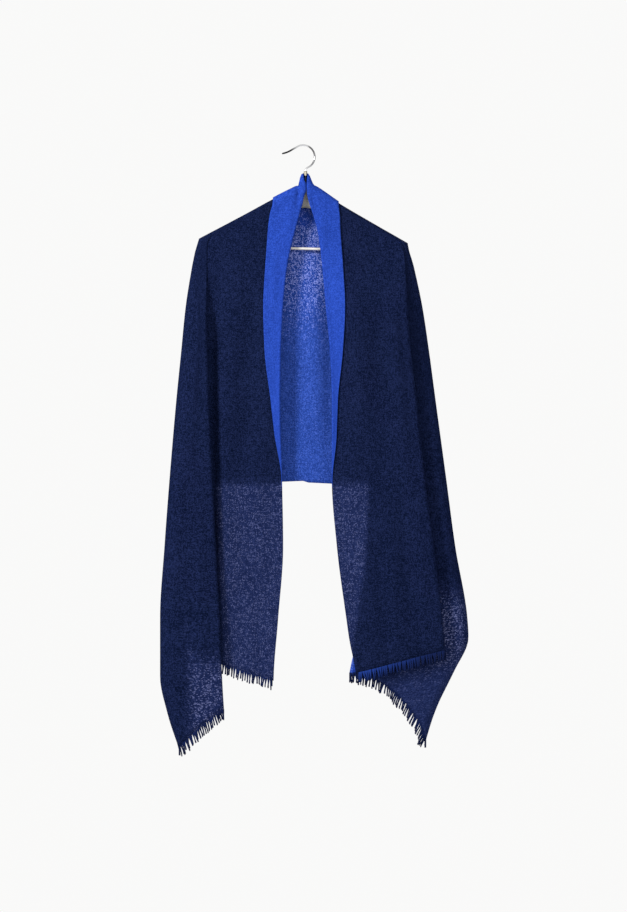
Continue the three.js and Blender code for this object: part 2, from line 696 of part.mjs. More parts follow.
const BAR_ENDS = { left: -181, right: -188.5 };   // the bar's height at each notch
const BAR_NOTCH = { left: -156, right: 162 };

function barGeometry() {
  const left = new THREE.Vector3(BAR_NOTCH.left + SEAM, 0, BAR_ENDS.left);
  const right = new THREE.Vector3(BAR_NOTCH.right - SEAM, 0, BAR_ENDS.right);
  const radius = BAR_DIAMETER / 2;
  const section = new THREE.Shape(new THREE.EllipseCurve(0, 0, radius, radius).getPoints(10).slice(0, 10));
  return new THREE.ExtrudeGeometry(section, {
    steps: 1, bevelEnabled: false, extrudePath: new THREE.LineCurve3(left, right),
  });
}

// ---------------------------------------------------------------- the object
const navy = { color: 0x141c44, roughness: 0.9, metalness: 0 };
const cobalt = { color: 0x1c45c0, roughness: 0.85, metalness: 0 };
const steel = { color: 0xb9bcc2, roughness: 0.25, metalness: 1 };
const brass = { color: 0x5a4630, roughness: 0.4, metalness: 0.8 };
const wood = { color: 0x8a7c6c, roughness: 0.6, metalness: 0 };

function piece(name, geometry, look) {
  const mesh = new THREE.Mesh(toCreasedNormals(geometry, Math.PI / 4), new THREE.MeshStandardMaterial(look));
  mesh.name = name;
  return mesh;
}

const stole = new THREE.Group();
const ROWS = { arch: 3, drop: 13 };
const COLLAR_ROWS = { arch: 3, drop: 12 };
const COLLAR_BACK = { across: 14, down: 8 };
const FRONT = -1;               // which way a panel leaves the ridge
const BACK = 1;
const panel = (columns, facing) => wallFromGrid(panelGrid(columns, facing, ROWS.arch, ROWS.drop));

const leftBack = backPanels(LEFT);
const rightBack = backPanels(RIGHT);
const backColumns = [
  ...columnsOf(leftBack.middle).slice(0, -1),
  ...columnsOf(rightBack.middle).reverse().slice(2),
];
stole.add(piece('cloth_back', panel(backColumns, BACK), navy));

for (const [name, side, back] of [['left', LEFT, leftBack], ['right', RIGHT, rightBack]]) {
  const front = frontPanels(side);
  const atStart = { start: true, end: false };
  const atEnd = { start: false, end: true };
  stole.add(
    piece(`cloth_${name}_front`, panel(columnsOf(front.front, atStart), FRONT), navy),
    piece(`cloth_${name}_front_tuck`, panel(columnsOf(front.tuck), FRONT), navy),
    piece(`cloth_${name}_front_side`, panel(columnsOf(front.side, atEnd), FRONT), navy),
    piece(`cloth_${name}_back_side`, panel(columnsOf(back.side, atStart), BACK), navy),
    piece(`cloth_${name}_back_tuck`, panel(columnsOf(back.tuck), BACK), navy),
    piece(`collar_${name}`, wallFromGrid(collarGrid(side, CUT_ON_RIDGE[name], COLLAR_ROWS)), cobalt),
    piece(`fringe_${name}`, fringe(side), navy),
  );
}
stole.add(
  piece('collar_back', wallFromGrid(backCollarGrid(COLLAR_BACK.across, COLLAR_BACK.down)), cobalt),
  piece('hanger_hook', hookGeometry(), steel),
  piece('hanger_ferrule', ferruleGeometry(), brass),
  piece('hanger_shoulders', shouldersGeometry(), wood),
  piece('hanger_bar', barGeometry(), wood),
);

export default stole;
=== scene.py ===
"""A thin fringed stole hung round a slim wooden hanger: the looks, over the CAD frame.

The cloth's lines are the part's own, in millimetres, and are followed at a finer step.
The sheet is built once as a surface, then given two faces: navy outside, cobalt inside.
"""
import math

import bpy
import numpy as np
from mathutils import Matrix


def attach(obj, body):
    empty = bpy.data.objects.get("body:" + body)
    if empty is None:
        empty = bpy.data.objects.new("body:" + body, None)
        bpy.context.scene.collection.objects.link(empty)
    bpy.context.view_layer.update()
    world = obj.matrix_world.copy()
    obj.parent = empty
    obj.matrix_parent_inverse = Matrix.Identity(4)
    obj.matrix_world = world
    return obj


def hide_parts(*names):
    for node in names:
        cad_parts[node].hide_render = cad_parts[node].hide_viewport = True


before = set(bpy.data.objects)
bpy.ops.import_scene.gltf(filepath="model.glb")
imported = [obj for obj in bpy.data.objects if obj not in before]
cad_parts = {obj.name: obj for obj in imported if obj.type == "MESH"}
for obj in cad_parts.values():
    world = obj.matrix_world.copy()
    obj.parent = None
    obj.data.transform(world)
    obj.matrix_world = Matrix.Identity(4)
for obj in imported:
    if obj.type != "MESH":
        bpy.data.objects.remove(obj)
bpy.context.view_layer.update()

MM = 0.001

# ----- driving sizes, mm
CLOTH_THICKNESS = 0.8
WELD = 0.05              # points closer together than this are one
ARCH = 9.0               # radius of the cloth where it goes over the hanger
STEM_X = 5.4
COLLAR_LIFT = 5.0        # how far the turned collar stands off the cloth under it
COLLAR_EDGE_LIFT = 3.2   # the same at the collar's free edge
EAR_HEIGHT = 19.0        # how far the collar stands up beside the stem
EAR_CLOSES = 0.45        # share of its rise that a column falls before it spreads
FURROW_HALF = 3.2        # half width of the crease beside each ear
ROLL_ON_RIDGE = 2.0      # the collar's roll, measured along the ridge out from the neck
ROLL_TIGHTENS = -500.0   # where that roll starts to tighten
SELVEDGE_RADIUS = 0.45   # what is left of it where the lapel has run out
LAPEL_END = -606.0       # where the turned collar runs out
LAPEL_TAPER = 90.0       # and the length over which it narrows
FOLDS_OPEN = 150.0       # drop over which the folds open below the shoulder
LAYERS_APART = 0.08      # share of their full distance that the layers keep above that
FAN_NECK, FAN_SHOULDER = 10.0, 30.0   # drop over which the cloth leaves the ridge
FAN_FROM, FAN_OVER = 6.0, 45.0        # out from the stem, where the first turns into the second
OUTER, OUTER_SOFT = 150.0, 30.0       # out from the middle, where the outer shoulders begin
NECK_RISE, NECK_HALF = 11.0, 8.0      # how far the back's top edge stands up behind the stem
STEM_STEP = 5.0          # and how far it steps back from it

# Slow waves of the layers. They set in at height "from" and are whole "over" below it.
FRONT_WAVE = {"from": -170, "over": 250, "swell": 1.2, "lift": 1.4, "half_waves": 5, "drift": 400}
BACK_WAVE = {"from": -150, "over": 400, "swell": 1.5, "lift": 1.0, "length": 24, "phase": 0.8}
# Shares of a layer's width over which waves and creases fade towards its folds.
WAVE_FADE, CREASE_FADE, COLLAR_FADE, BACK_FADE = 1 / 4, 1 / 6, 1 / 8, 1 / 12
CREASE_AT_CUT = 0.4      # share of a collar's crease that reaches its free edge
CREASE_SETS_IN, CREASE_RUNS_OUT = 0.30, 0.35   # shares of a crease's length
CREASE_DEPTH = 1.35      # scales the lifts in CREASES

# Rows of points in a column, those over the arch, and how they crowd below it.
ROWS, ARCH_ROWS, ROW_EASE = 108, 8, 1.25
BACK_COLLAR_ROWS = 30
# Columns in each stretch, and how those of the main layers crowd at the neck.
STEPS = {"collar": 20, "roll": 5, "main": 42, "fold": 7, "tuck": 8, "side": 14, "neck": 10, "nape": 12}
MAIN_EASE = 1.15
# The first column past a front's second layer.
THIRD_FROM = 1 + STEPS["roll"] + STEPS["main"] + STEPS["fold"] + STEPS["tuck"]

# Where one layer alone hangs against the light, and how open it then looks, 0 to 1. There its colour is
# painted paler for the light coming through, and its holes are painted with that light.
BACK_HEM = -602.0        # below it the fronts have no cloth behind them
BACK_OPEN = {"high": 1.0, "low": 0.12, "from": -215.0, "over": 170.0}
NECK_PATCH = {"open": 0.6, "half": 40.0}
FRONT_OPEN = 0.5
HEM_OPENS = -905.0       # where the corners begin to look as open as at the hem
SPUR_HALF = 10.0         # half width of a spur
CUT_OVERLAP = 1.0        # how far above the collar's cut edge the back's single layer sets in
BORDER = {"collar": 5, "patch": 10, "fold": 8, "hem": 10, "corner": 60, "corner_side": 30}  # softness

FRINGE_LENGTH = 17.0
FRINGE_LEAN = 0.5        # share of the hem's slope that the tufts follow
FRINGE_SHORT_OF_CORNER = 2   # columns
MOST_SLOPE = 1.2         # of the hem, for that lean
SLOPE_REACH, SLOPE_SOFT = 6.0, 4.0   # how far to each side it is read, and what keeps it finite
TUFT_PITCH, YARNS = 4.3, 5
YARN_POINTS, YARN_SIDES = 7, 4
YARN_ROOT = 1.5          # how far up in the hem a yarn starts
YARN_RADII = (0.72, 0.98)    # at root and tip
GATHERED, GATHERS_BY = 0.84, 1 / 1.2   # how close a tuft's tips lie, and by which share of it
BUNDLE_RADIUS, BUNDLE_RADII, BUNDLE_ROOT = 0.8, (1.1, 0.9), 2.0   # the thick tuft in a corner
BUNDLE_REACH = {"outer": 0.88, "inner": 0.64}   # its share of the fringe's length
# How unlike each other the tufts and yarns are.
UNLIKE = {"place": 0.4, "lean": 0.07, "length": 1.2, "sway": 0.05, "tone": 0.07}
SHORTEST_YARN, YARN_WAVE, WAVE_TURNS = 0.84, 0.4, (5, 4)
FRONT_TONE, TIP_TONE = 0.03, 0.2       # what the front adds to a yarn's tone, and what its tip keeps

WIRE, WIRE_STEPS, WIRE_SIDES = 3.2, 8, 16
HOOK_RADIUS, HOOK_CENTRE_X = 21.15, 0.9
HOOK_FLARE = [(-37, -14), (-26, -10.5)]   # x and z
HOOK_BEND = [128, 108, 88, 68, 48, 28, 8, -12, -32, -50]   # degrees round its centre
HOOK_STEM = [(7.6, -40), (STEM_X, -44), (STEM_X, -50), (STEM_X, -69.7)]
HOOK_TIP = (0.45, 0.8, 0.95, 1.0)         # shares of the wire's radius

# The weave, mm: slubs along each thread, the crossings, flecks and slow clouds of tone.
SLUB_WIDTH, SLUB_LENGTH, THREAD_PITCH, FLECK, CLOUD = 2.2, 14.0, 1.3, 2.4, 60.0
# Where the uneven threads part: least unevenness, what an open weave takes off it, softness.
HOLE_LIMIT, HOLE_OPENS, HOLE_SOFT, HOLE_CLEAR = 1.19, 0.18, 0.06, 0.10
# How much each adds to the unevenness, and the range of it over which the tone goes up.
THREAD_WEIGHT, CROSSING_WEIGHT, FLECK_WEIGHT, COARSE_WEIGHT = 0.6, 0.6, 0.8, 0.3
TONE_RANGE = (0.90, 1.52)
# Where each weave starts along the weft, so that no two panels repeat each other.
WEAVE_AT = {
    "left_collar": 0.0, "left": 100.0, "right_collar": 900.0, "right": 1000.0, "back": 1800.0,
    "back_collar": 3000.0,
}

# Where shade is painted on the hook's steel, metres: x at its tip and behind its bend, z at stem and
# foot.
STEEL_TIP, STEEL_BEHIND = (-0.020, -0.006), (0.008, 0.014)
STEEL_STEM, STEEL_FOOT = (-0.040, -0.030), (-0.052, -0.047)
# STEEL_PAINTED_SHADE is the share of brightness left where shade is painted behind the bend and above the
# stem.
STEEL_TIP_UNEVEN, STEEL_PAINTED_SHADE = 0.004, 0.22
GRAIN = (18, 260, 260)   # the wood's grain in each metre of x, y and z
FINE = {"yarn": 1400, "steel": 900, "brass": 600}   # fine spots in each metre
NOISE_RANGE = (0.3, 0.7)

# The picture, metres: how far off it is seen, how high the view is there, and its middle x and z.
VIEW_DISTANCE, VIEW_HEIGHT, VIEW_MIDDLE = 4.0, 1.6416, (0.0198, -0.558)
FLOOR_RADIUS, FLOOR_Z, FLOOR_SIDES = 1.1, -1.62, 64
LIGHTS = [
    # name, place, what it points at, size, power in watts
    ("key", (-2.4, -2.0, 0.8), (0, 0, -0.5), 0.9, 190),
    ("fill", (1.8, -2.8, 0.2), (0, 0, -0.6), 2.0, 40),
]

# Where each stretch of a section stops on the ridge, measured in from its end.
ON_RIDGE = {"edge": 7, "side": 18, "fold": 26, "tuck": 32, "main": 40}
# The folds of a drop: the layers that each joins, and whether it opens outwards or inwards.
FOLDS = {
    "outer": ("first", "second", 1), "inner": ("second", "third", -1), "edge": ("third", "fourth", 1),
    "pleat": ("fourth", "fifth", -1), "heel": ("fifth", "back", 1),
}

# Where the cloth lies on the hanger's shoulders: x and z.
RIDGE = np.array([
    (-186, -167), (-100, -121.5), (-53, -96), (-29, -84.5), (-15, -78), (-6, -73), (0, -69),
    (5, -67), (11, -69), (16, -72), (31, -80.5), (53, -95), (65, -103), (120, -135.5), (189, -175),
], float)

# At each height z: x of the collar's cut edge and of its roll, then of each fold line.
LINES = ("z", "cut", "roll", "outer", "inner", "edge", "pleat", "heel")
LEFT = {
    "name": "left", "way": -1, "end": -186.0, "neck": 3.0,
    "lines": np.array([
        (-60, -50, 5.9, -150, -165, -186, -168, -178),
        (-72, -51.5, 6.6, -154, -166, -186, -168, -178),
        (-82, -52.5, 6.0, -156, -167, -186, -168, -178),
        (-90, -53.5, 3.0, -160, -169, -186, -168, -178),
        (-105, -55.5, 0, -164, -171, -186, -168, -178),
        (-120, -58, -4.5, -168, -172, -186, -168, -178),
        (-150, -62, -12.5, -176, -172, -189, -168, -177),
        (-185, -64.5, -21, -180, -172, -192.5, -167, -177),
        (-220, -67, -28, -183, -172, -199, -164, -177),
        (-290, -70.5, -35, -192, -172, -210, -156, -182),
        (-370, -68, -39, -198, -170, -218, -148, -184),
        (-460, -57, -40, -199, -167, -227, -142, -190),
        (-600, -44, -37, -199, -161, -239, -138, -199),
        (-720, -42, -35, -199, -155, -248, -138, -206),
        (-850, -52, -44, -199, -148, -256, -138, -214),
        (-955, -60, -52, -199, -144, -256, -138, -220),
        (-1020, -60, -53, -199, -140, -243, -138, -220),
        (-1085, -60, -54, -199, -134, -222, -138, -220),
    ], float),
    "depths": {"first": -9, "second": -18, "third": -28, "fourth": 27, "fifth": 18, "back": 9},
    "neck_depth": np.array([(-60, -9), (-600, -11), (-1085, -11)], float),   # by height
    "ramp_end": 0.6,       # share of the first layer over which it leans to its full depth
    "hems": {              # heights, at equal shares of each layer
        "first": (-961, -947, -932, -916), "second": (-916, -965, -1013),
        "third": (-1013, -1030, -1046, -1062), "corner": -1088,
        "fourth": (-1052, -858, -822, -846, -889), "fifth": (-889, -800, -700),
        "back": (-665, -607, -603),
    },
    "folds_lead": -40.0,   # how far above the shoulder's tip the folds start to open
    "furrow": 2.6,         # depth of the crease beside the ear
    "ear": (8.4, 4.2),     # how far out along the ridge the ear is full, and then fades over
    "single_from": -895.0,     # below it the corner hangs as a single layer
    "single_to": -216.0,       # out to this x
    "spur": (-211.0, 95.0),    # where that layer reaches further up, and how far
    "hem_open": (0.62, 0.75),  # how open its weave looks, above and at the hem
    "fringe_tone": 0.0,        # how much cobalt shows in the fringe's yarns at the front
    "seed": 11,
}
RIGHT = {
    "name": "right", "way": 1, "end": 189.0, "neck": 8.2,
    "lines": np.array([
        (-60, 62, 7.6, 150, 165, 189, 172, 180),
        (-72, 63.5, 7.4, 155, 167, 189, 172, 180),
        (-82, 64, 7.9, 158, 169, 189, 172, 180),
        (-90, 65, 8.9, 163, 172, 189, 172, 180),
        (-105, 66, 12.6, 168, 174, 189, 172, 180),
        (-120, 67, 17.8, 172, 175, 189, 172, 180),
        (-150, 68, 26.5, 178, 176, 191, 172, 180),
        (-185, 70.5, 32, 181, 174, 192.5, 172, 181),
        (-220, 73, 36, 184.5, 172, 201, 172, 182),
        (-290, 76.5, 42, 188, 164, 216, 170, 190),
        (-370, 72.5, 49.5, 194, 150, 228, 168, 200),
        (-460, 63.5, 53, 204, 138, 240, 170, 212),
        (-600, 60, 53, 219, 123, 259, 188, 228),
        (-720, 70, 62, 235, 118, 275, 206, 242),
        (-850, 87, 79, 250, 102, 297, 224, 256),
        (-885, 92, 84, 253, 97, 299, 224, 256),
        (-950, 102, 96, 262, 84, 271, 224, 256),
        (-1020, 106, 100, 266, 74, 238, 224, 256),
        (-1085, 110, 104, 270, 64, 218, 224, 256),
    ], float),
    "depths": {"first": -29, "second": -20, "third": -10, "fourth": 26, "fifth": 17.5, "back": 9},
    "neck_depth": np.array([(-60, -9), (-300, -10), (-460, -13), (-600, -17), (-850, -26),
                            (-950, -29), (-1085, -29)], float),
    "ramp_end": 0.34,
    "hems": {
        "first": (-947, -934, -920, -907), "second": (-907, -928, -948),
        "third": (-948, -958, -978, -1006, -1040), "corner": -1080,
        "fourth": (-890, -812, -782, -775), "fifth": (-775, -735, -690),
        "back": (-670, -611, -606),
    },
    "folds_lead": 12.0,
    "furrow": 0.8,
    "ear": (4.4, 11.0),
    "single_from": -780.0,
    "single_to": 310.0,
    "spur": (268.0, 0.0),
    "hem_open": (0.85, 0.20),
    "fringe_tone": 0.42,
    "seed": 23,
}
# The collar's cut edge: x on the ridge, then x and z behind the neck.
CUT_ON_RIDGE = {"left": -53.0, "right": 65.0}
BACK_CUT = np.array([(-53, -103), (-31, -126), (5, -144), (40, -126), (65, -109)], float)

# Soft ridges (lift > 0, away from the body) and troughs (lift < 0) of the cloth. Each runs
# from its upper to its lower place and fades at both ends; "half" is its half width.
CREASES = {name: np.array(rows, float) for name, rows in {
    # x above, x below, z above, z below, half, lift
    "left_first": [
        (-118, -134, -205, -640, 17, 2.6), (-82, -92, -235, -600, 15, -2.8),
        (-60, -58, -330, -560, 9, 1.3), (-150, -160, -170, -420, 12, -1.4),
        (-128, -120, -640, -930, 15, 1.7), (-88, -78, -700, -950, 12, -1.6),
        (-163, -158, -258, -900, 9, -5.4), (-104, -108, -130, -230, 8, 0.9),
    ],
    "left_third": [
        (-192, -204, -250, -620, 10, 1.6), (-214, -226, -420, -900, 9, -1.8),
        (-184, -178, -600, -1010, 11, 1.9), (-204, -198, -800, -1040, 8, -1.3),
        (-232, -238, -640, -980, 8, 1.0),
    ],
    "right_first": [
        (96, 104, -225, -560, 14, 2.2), (126, 146, -260, -700, 17, -3.0),
        (160, 186, -235, -640, 13, 2.1), (112, 132, -610, -930, 15, 1.9),
        (176, 196, -560, -900, 14, -2.0), (152, 170, -720, -935, 11, 1.3),
        (82, 88, -320, -470, 8, -1.1), (206, 226, -640, -905, 10, 1.4),
    ],
    "right_third": [
        (214, 258, -330, -780, 9, 1.5), (232, 272, -480, -900, 10, -1.7),
        (196, 212, -700, -960, 14, 2.1), (246, 236, -860, -1030, 9, 1.2),
        (160, 150, -760, -960, 13, -1.6),
    ],
    "left_fourth": [
        (-222, -240, -330, -800, 10, 1.8), (-196, -204, -260, -700, 12, -2.0),
        (-172, -166, -380, -830, 10, 1.4),
    ],
    "right_fourth": [
        (216, 262, -320, -760, 11, 1.7), (236, 280, -470, -860, 10, -1.9),
        (196, 232, -300, -690, 9, 1.3),
    ],
    "back": [
        (-142, -150, -195, -600, 16, 2.8), (-104, -98, -230, -560, 18, -3.1),
        (-62, -72, -170, -480, 13, 2.0), (-24, -20, -330, -600, 16, 1.7),
        (18, 26, -210, -520, 15, -2.4), (58, 50, -180, -600, 17, 3.0),
        (96, 106, -250, -590, 14, -2.6), (138, 150, -200, -540, 15, 2.3),
        (170, 184, -330, -660, 11, -1.6), (-176, -184, -300, -650, 10, -1.5),
        (-4, 2, -480, -604, 20, -1.2),
    ],
    "left_collar": [
        (-3.5, -10, -44, -114, 2.8, -3.1), (-18, -26, -92, -170, 7, 1.2),
        (-48, -54, -150, -330, 6, 0.8), (-44, -50, -330, -480, 5, -0.7),
    ],
    "right_collar": [
        (17, 22, -84, -125, 4.0, -1.3), (34, 40, -104, -190, 8, 1.1), (58, 62, -200, -350, 6, 0.8),
    ],
}.items()}


# ----- small helpers
def lerp(a, b, k):
    return a + (b - a) * k


def smooth(k):
    k = np.clip(k, 0.0, 1.0)
    return k * k * (3 - 2 * k)


def within(k, fade):
    """1 along a stretch, softly falling to 0 over a share of it at both ends."""
    return smooth(k / fade) * smooth((1 - k) / fade)


def bell(distance, half):
    return np.exp(-((distance / half) ** 2))


def look_up(keys, values, at):
    """Smooth, never overshooting look-up (cubic Hermite with harmonic slopes)."""
    if keys[0] > keys[-1]:
        keys, values = keys[::-1], values[::-1]
    at = np.clip(np.asarray(at, float), keys[0], keys[-1])
    slopes = np.diff(values) / np.diff(keys)
    tangents = np.empty(len(keys))
    tangents[0], tangents[-1] = slopes[0], slopes[-1]
    before, after = slopes[:-1], slopes[1:]
    both = before * after
    total = np.where(before + after == 0, 1.0, before + after)
    tangents[1:-1] = np.where(both > 0, 2 * both / total, 0.0)
    i = np.clip(np.searchsorted(keys, at, side="right") - 1, 0, len(keys) - 2)
    span = keys[i + 1] - keys[i]
    k = (at - keys[i]) / span
    return ((2 * k**3 - 3 * k**2 + 1) * values[i] + (k**3 - 2 * k**2 + k) * span * tangents[i]
            + (3 * k**2 - 2 * k**3) * values[i + 1] + (k**3 - k**2) * span * tangents[i + 1])


def spread(values, k):
    """A list of values at equal shares, read at share k."""
    return float(np.interp(k * (len(values) - 1), range(len(values)), values))


def ridge_height(x):
    return look_up(RIDGE[:, 0], RIDGE[:, 1], x)


def line(side, name, z):
    return look_up(side["lines"][:, 0], side["lines"][:, LINES.index(name)], z)


def roll_radius(z):
    """The collar's roll tightens to a bare selvedge where the lapel runs out."""
    tight = smooth((ROLL_TIGHTENS - z) / (ROLL_TIGHTENS - LAPEL_END))
    return lerp(COLLAR_LIFT / 2, SELVEDGE_RADIUS, tight)


def fan_drop(x):
    return lerp(FAN_NECK, FAN_SHOULDER, smooth((abs(x - STEM_X) - FAN_FROM) / FAN_OVER))


def layer_depth(side, layer, z):
    full = side["depths"][layer]
    opened = smooth((ridge_height(side["end"]) + side["folds_lead"] - z) / FOLDS_OPEN)
    return lerp(math.copysign(ARCH, full), full, lerp(LAYERS_APART, 1.0, opened))


def creases(name, x, z):
    """How far the cloth's soft ridges and troughs lift it off its plane."""
    total = np.zeros(np.broadcast(x, z).shape)
    for above, below, top, bottom, half, lift in CREASES.get(name, ()):
        along = (top - z) / (top - bottom)
        across = bell(x - lerp(above, below, np.clip(along, 0, 1)), half)
        ends = smooth(along / CREASE_SETS_IN) * smooth((1 - along) / CREASE_RUNS_OUT)
        total += CREASE_DEPTH * lift * across * ends
    return total


def sets_in(table, z):
    """Grows softly from 0 at the height "from" to 1 a drop of "over" below it."""
    return smooth((table["from"] - z) / table["over"])


def first_depth(side, z, k, x=None):
    """The first layer leans from the collar's roll out to its fold, with soft waves."""
    neck = look_up(side["neck_depth"][:, 0], side["neck_depth"][:, 1], z)
    lean = lerp(neck, layer_depth(side, "first", z), smooth(k / side["ramp_end"]))
    wave = np.sin(k * math.pi * FRONT_WAVE["half_waves"] + side["way"] + z / FRONT_WAVE["drift"])
    swell = FRONT_WAVE["swell"] + FRONT_WAVE["lift"] * wave * within(k, WAVE_FADE)
    depth = lean - sets_in(FRONT_WAVE, z) * swell
    if x is None:
        return depth
    return depth - creases(side["name"] + "_first", x, z) * within(k, CREASE_FADE)


def back_depth(x, z):
    swell = BACK_WAVE["swell"] + BACK_WAVE["lift"] * np.sin(x / BACK_WAVE["length"] + BACK_WAVE["phase"])
    inside = smooth((OUTER - np.abs(x)) / OUTER_SOFT)
    return ARCH + sets_in(BACK_WAVE, z) * swell + creases("back", x, z) * inside


def collar_rise(side, x, lift):
    """How far the collar stands over the ridge: most beside the stem, in an ear."""
    full, fade = side["ear"]
    out = abs(x - STEM_X)
    furrow = side["furrow"] * bell(out - full - fade, FURROW_HALF)
    return lift - furrow + (EAR_HEIGHT - lift) * smooth(1 - (out - full) / fade)


def roll_end(side, z):
    return line(side, "roll", z) + side["way"] * roll_radius(z)


def neck_end(side):
    """Where on the ridge the collar's roll has come round to the cloth under it."""
    return side["neck"] + side["way"] * ROLL_ON_RIDGE


def fold_end(side, name, z):
    """Where the half turn at a fold line begins and ends."""
    before, after, opens = FOLDS[name]
    radius = abs(layer_depth(side, before, z) - layer_depth(side, after, z)) / 2
    return line(side, name, z) - side["way"] * opens * radius


def fold(side, name, start=0.0, end=1.0):
    """The half turn round a fold line, or a part of it, from one layer to the next."""
    before, after, opens = FOLDS[name]

    def section(z, k):
        depth = first_depth(side, z, 1) if before == "first" else layer_depth(side, before, z)
        half = (layer_depth(side, after, z) - depth) / 2
        angle = math.pi * lerp(start, end, k)
        x = line(side, name, z) - side["way"] * opens * abs(half) * (1 - math.sin(angle))
        return x, depth + half - half * math.cos(angle)

    return section


def flat_layer(side, name, start, end):
    """A layer between two fold lines, with its creases lifting away from the body."""
    away = math.copysign(1.0, side["depths"][name])

    def section(z, k):
        x = lerp(fold_end(side, start, z), fold_end(side, end, z), k)
        lifts = creases(f"{side['name']}_{name}", x, z) * within(k, CREASE_FADE)
        return x, layer_depth(side, name, z) + away * lifts

    return section


# ----- columns of the sheet
class Column:
    """One thread line of the cloth, from the ridge to its hem."""

    def __init__(self, ridge_x, hem, section, rise=0.0):
        self.ridge_x = ridge_x
        self.top = float(ridge_height(ridge_x))
        self.hem = hem
        self.section = section
        self.rise = rise

    def points(self, start_y=0.0):
        """From the ridge over the arch, then down its layer to the hem."""
        i = np.arange(ROWS + 1)
        angle = np.minimum(i / ARCH_ROWS, 1.0) * math.pi / 2
        down = np.clip((i - ARCH_ROWS) / (ROWS - ARCH_ROWS), 0, 1) ** ROW_EASE
        drop = (ARCH + self.rise) * (1 - np.cos(angle)) + (self.top - ARCH - self.hem) * down
        z = self.top + self.rise - drop
        x, y = self.section(z)
        share = np.clip((drop - EAR_CLOSES * self.rise) / fan_drop(self.ridge_x), 0, 1)
        straight = smooth((abs(self.ridge_x) - OUTER) / OUTER_SOFT)
        spread_out = lerp(smooth(share), share * (2 - share), straight)
        return np.stack([lerp(self.ridge_x, x, spread_out), lerp(start_y, y, np.sin(angle)), z], axis=1)


def stretch(kind, ridge, hem, section, ease=1.0, skip_first=True, towards_neck=False):
    """Columns of one layer or fold. With an ease they crowd together at the neck."""
    steps = STEPS[kind]
    columns = []
    for i in range(1 if skip_first else 0, steps + 1):
        k = 1 - (1 - i / steps) ** ease if towards_neck else (i / steps) ** ease
        columns.append(Column(lerp(*ridge, k), spread(hem, k), lambda z, k=k: section(z, k)))
    return columns


def collar_columns(side):
    """The turned collar, from its free edge in to where the cloth turns back."""
    hem = side["hems"]["first"][0]
    columns = []
    for i in range(STEPS["collar"] + 1):
        k = 1 - i / STEPS["collar"]

        def section(z, k=k):
            start = roll_end(side, z)
            turned = smooth((z - LAPEL_END) / LAPEL_TAPER)
            x = lerp(start, line(side, "cut", z), k * turned)
            full_lift = 2 * roll_radius(z)
            lift = lerp(full_lift, np.minimum(COLLAR_EDGE_LIFT, full_lift), k)
            fade = lerp(CREASE_AT_CUT, 1.0, smooth((1 - k) / COLLAR_FADE)) * smooth(k / COLLAR_FADE)
            lifts = creases(side["name"] + "_collar", x, z) * fade
            under = first_depth(side, z, (x - start) / (fold_end(side, "outer", z) - start))
            return x, under - lift - lifts

        x = lerp(neck_end(side), CUT_ON_RIDGE[side["name"]], k)
        lift = lerp(COLLAR_LIFT, COLLAR_EDGE_LIFT, k)
        columns.append(Column(x, hem, section, collar_rise(side, x, lift)))
    return columns + roll_columns(side, 0.0, 0.5)


def roll_columns(side, start, end, skip_first=True):
    """Part of the half turn that joins the collar to the first layer."""
    way, hem, steps = side["way"], side["hems"]["first"][0], STEPS["roll"]
    columns = []
    for i in range(1 if skip_first else 0, steps + 1):
        angle = math.pi * lerp(start, end, i / steps)

        def section(z, angle=angle):
            radius = roll_radius(z)
            x = line(side, "roll", z) + way * radius * (1 - math.sin(angle))
            return x, first_depth(side, z, 0) - radius * (1 + math.cos(angle))

        x = side["neck"] + way * ROLL_ON_RIDGE * abs(math.cos(angle))
        rise = collar_rise(side, x, COLLAR_LIFT) * (1 + math.cos(angle)) / 2
        columns.append(Column(x, hem, section, rise))
    return columns


def ridge_stops(side):
    return {name: side["end"] - side["way"] * inward for name, inward in ON_RIDGE.items()}


def front_columns(side):
    """From the collar's roll out to the outer edge, layer by layer."""
    stop, hems = ridge_stops(side), side["hems"]
    second, third = hems["second"], hems["third"]

    def first(z, k):
        x = lerp(roll_end(side, z), fold_end(side, "outer", z), k)
        return x, first_depth(side, z, k, x)

    return [
        *stretch("main", (neck_end(side), stop["main"]), hems["first"], first, ease=MAIN_EASE),
        *stretch("fold", (stop["main"], stop["tuck"]), (second[0], second[0]), fold(side, "outer")),
        *stretch("tuck", (stop["tuck"], stop["fold"]), second,
                 flat_layer(side, "second", "outer", "inner")),
        *stretch("fold", (stop["fold"], stop["side"]), (third[0], third[0]), fold(side, "inner")),
        *stretch("side", (stop["side"], stop["edge"]), third, flat_layer(side, "third", "inner", "edge")),
        *stretch("fold", (stop["edge"], side["end"]), (third[-1], hems["corner"]),
                 fold(side, "edge", 0.0, 0.5)),
    ]


def back_columns(side):
    """From the outer edge round to the middle of the back."""
    stop, hems = ridge_stops(side), side["hems"]
    fourth, fifth = hems["fourth"], hems["fifth"]

    def middle(z, k):
        x = lerp(fold_end(side, "heel", z), neck_end(side), k)
        return x, lerp(ARCH, back_depth(x, z), smooth(k / BACK_FADE))

    return [
        *stretch("fold", (side["end"], stop["edge"]), (hems["corner"], fourth[0]),
                 fold(side, "edge", 0.5, 1.0), skip_first=False),
        *stretch("side", (stop["edge"], stop["side"]), fourth,
                 flat_layer(side, "fourth", "edge", "pleat")),
        *stretch("fold", (stop["side"], stop["fold"]), (fifth[0], fifth[0]), fold(side, "pleat")),
        *stretch("tuck", (stop["fold"], stop["tuck"]), fifth, flat_layer(side, "fifth", "pleat", "heel")),
        *stretch("fold", (stop["tuck"], stop["main"]), (fifth[-1], hems["back"][0]), fold(side, "heel")),
        *stretch("main", (stop["main"], neck_end(side)), hems["back"], middle,
                 ease=MAIN_EASE, towards_neck=True),
    ]


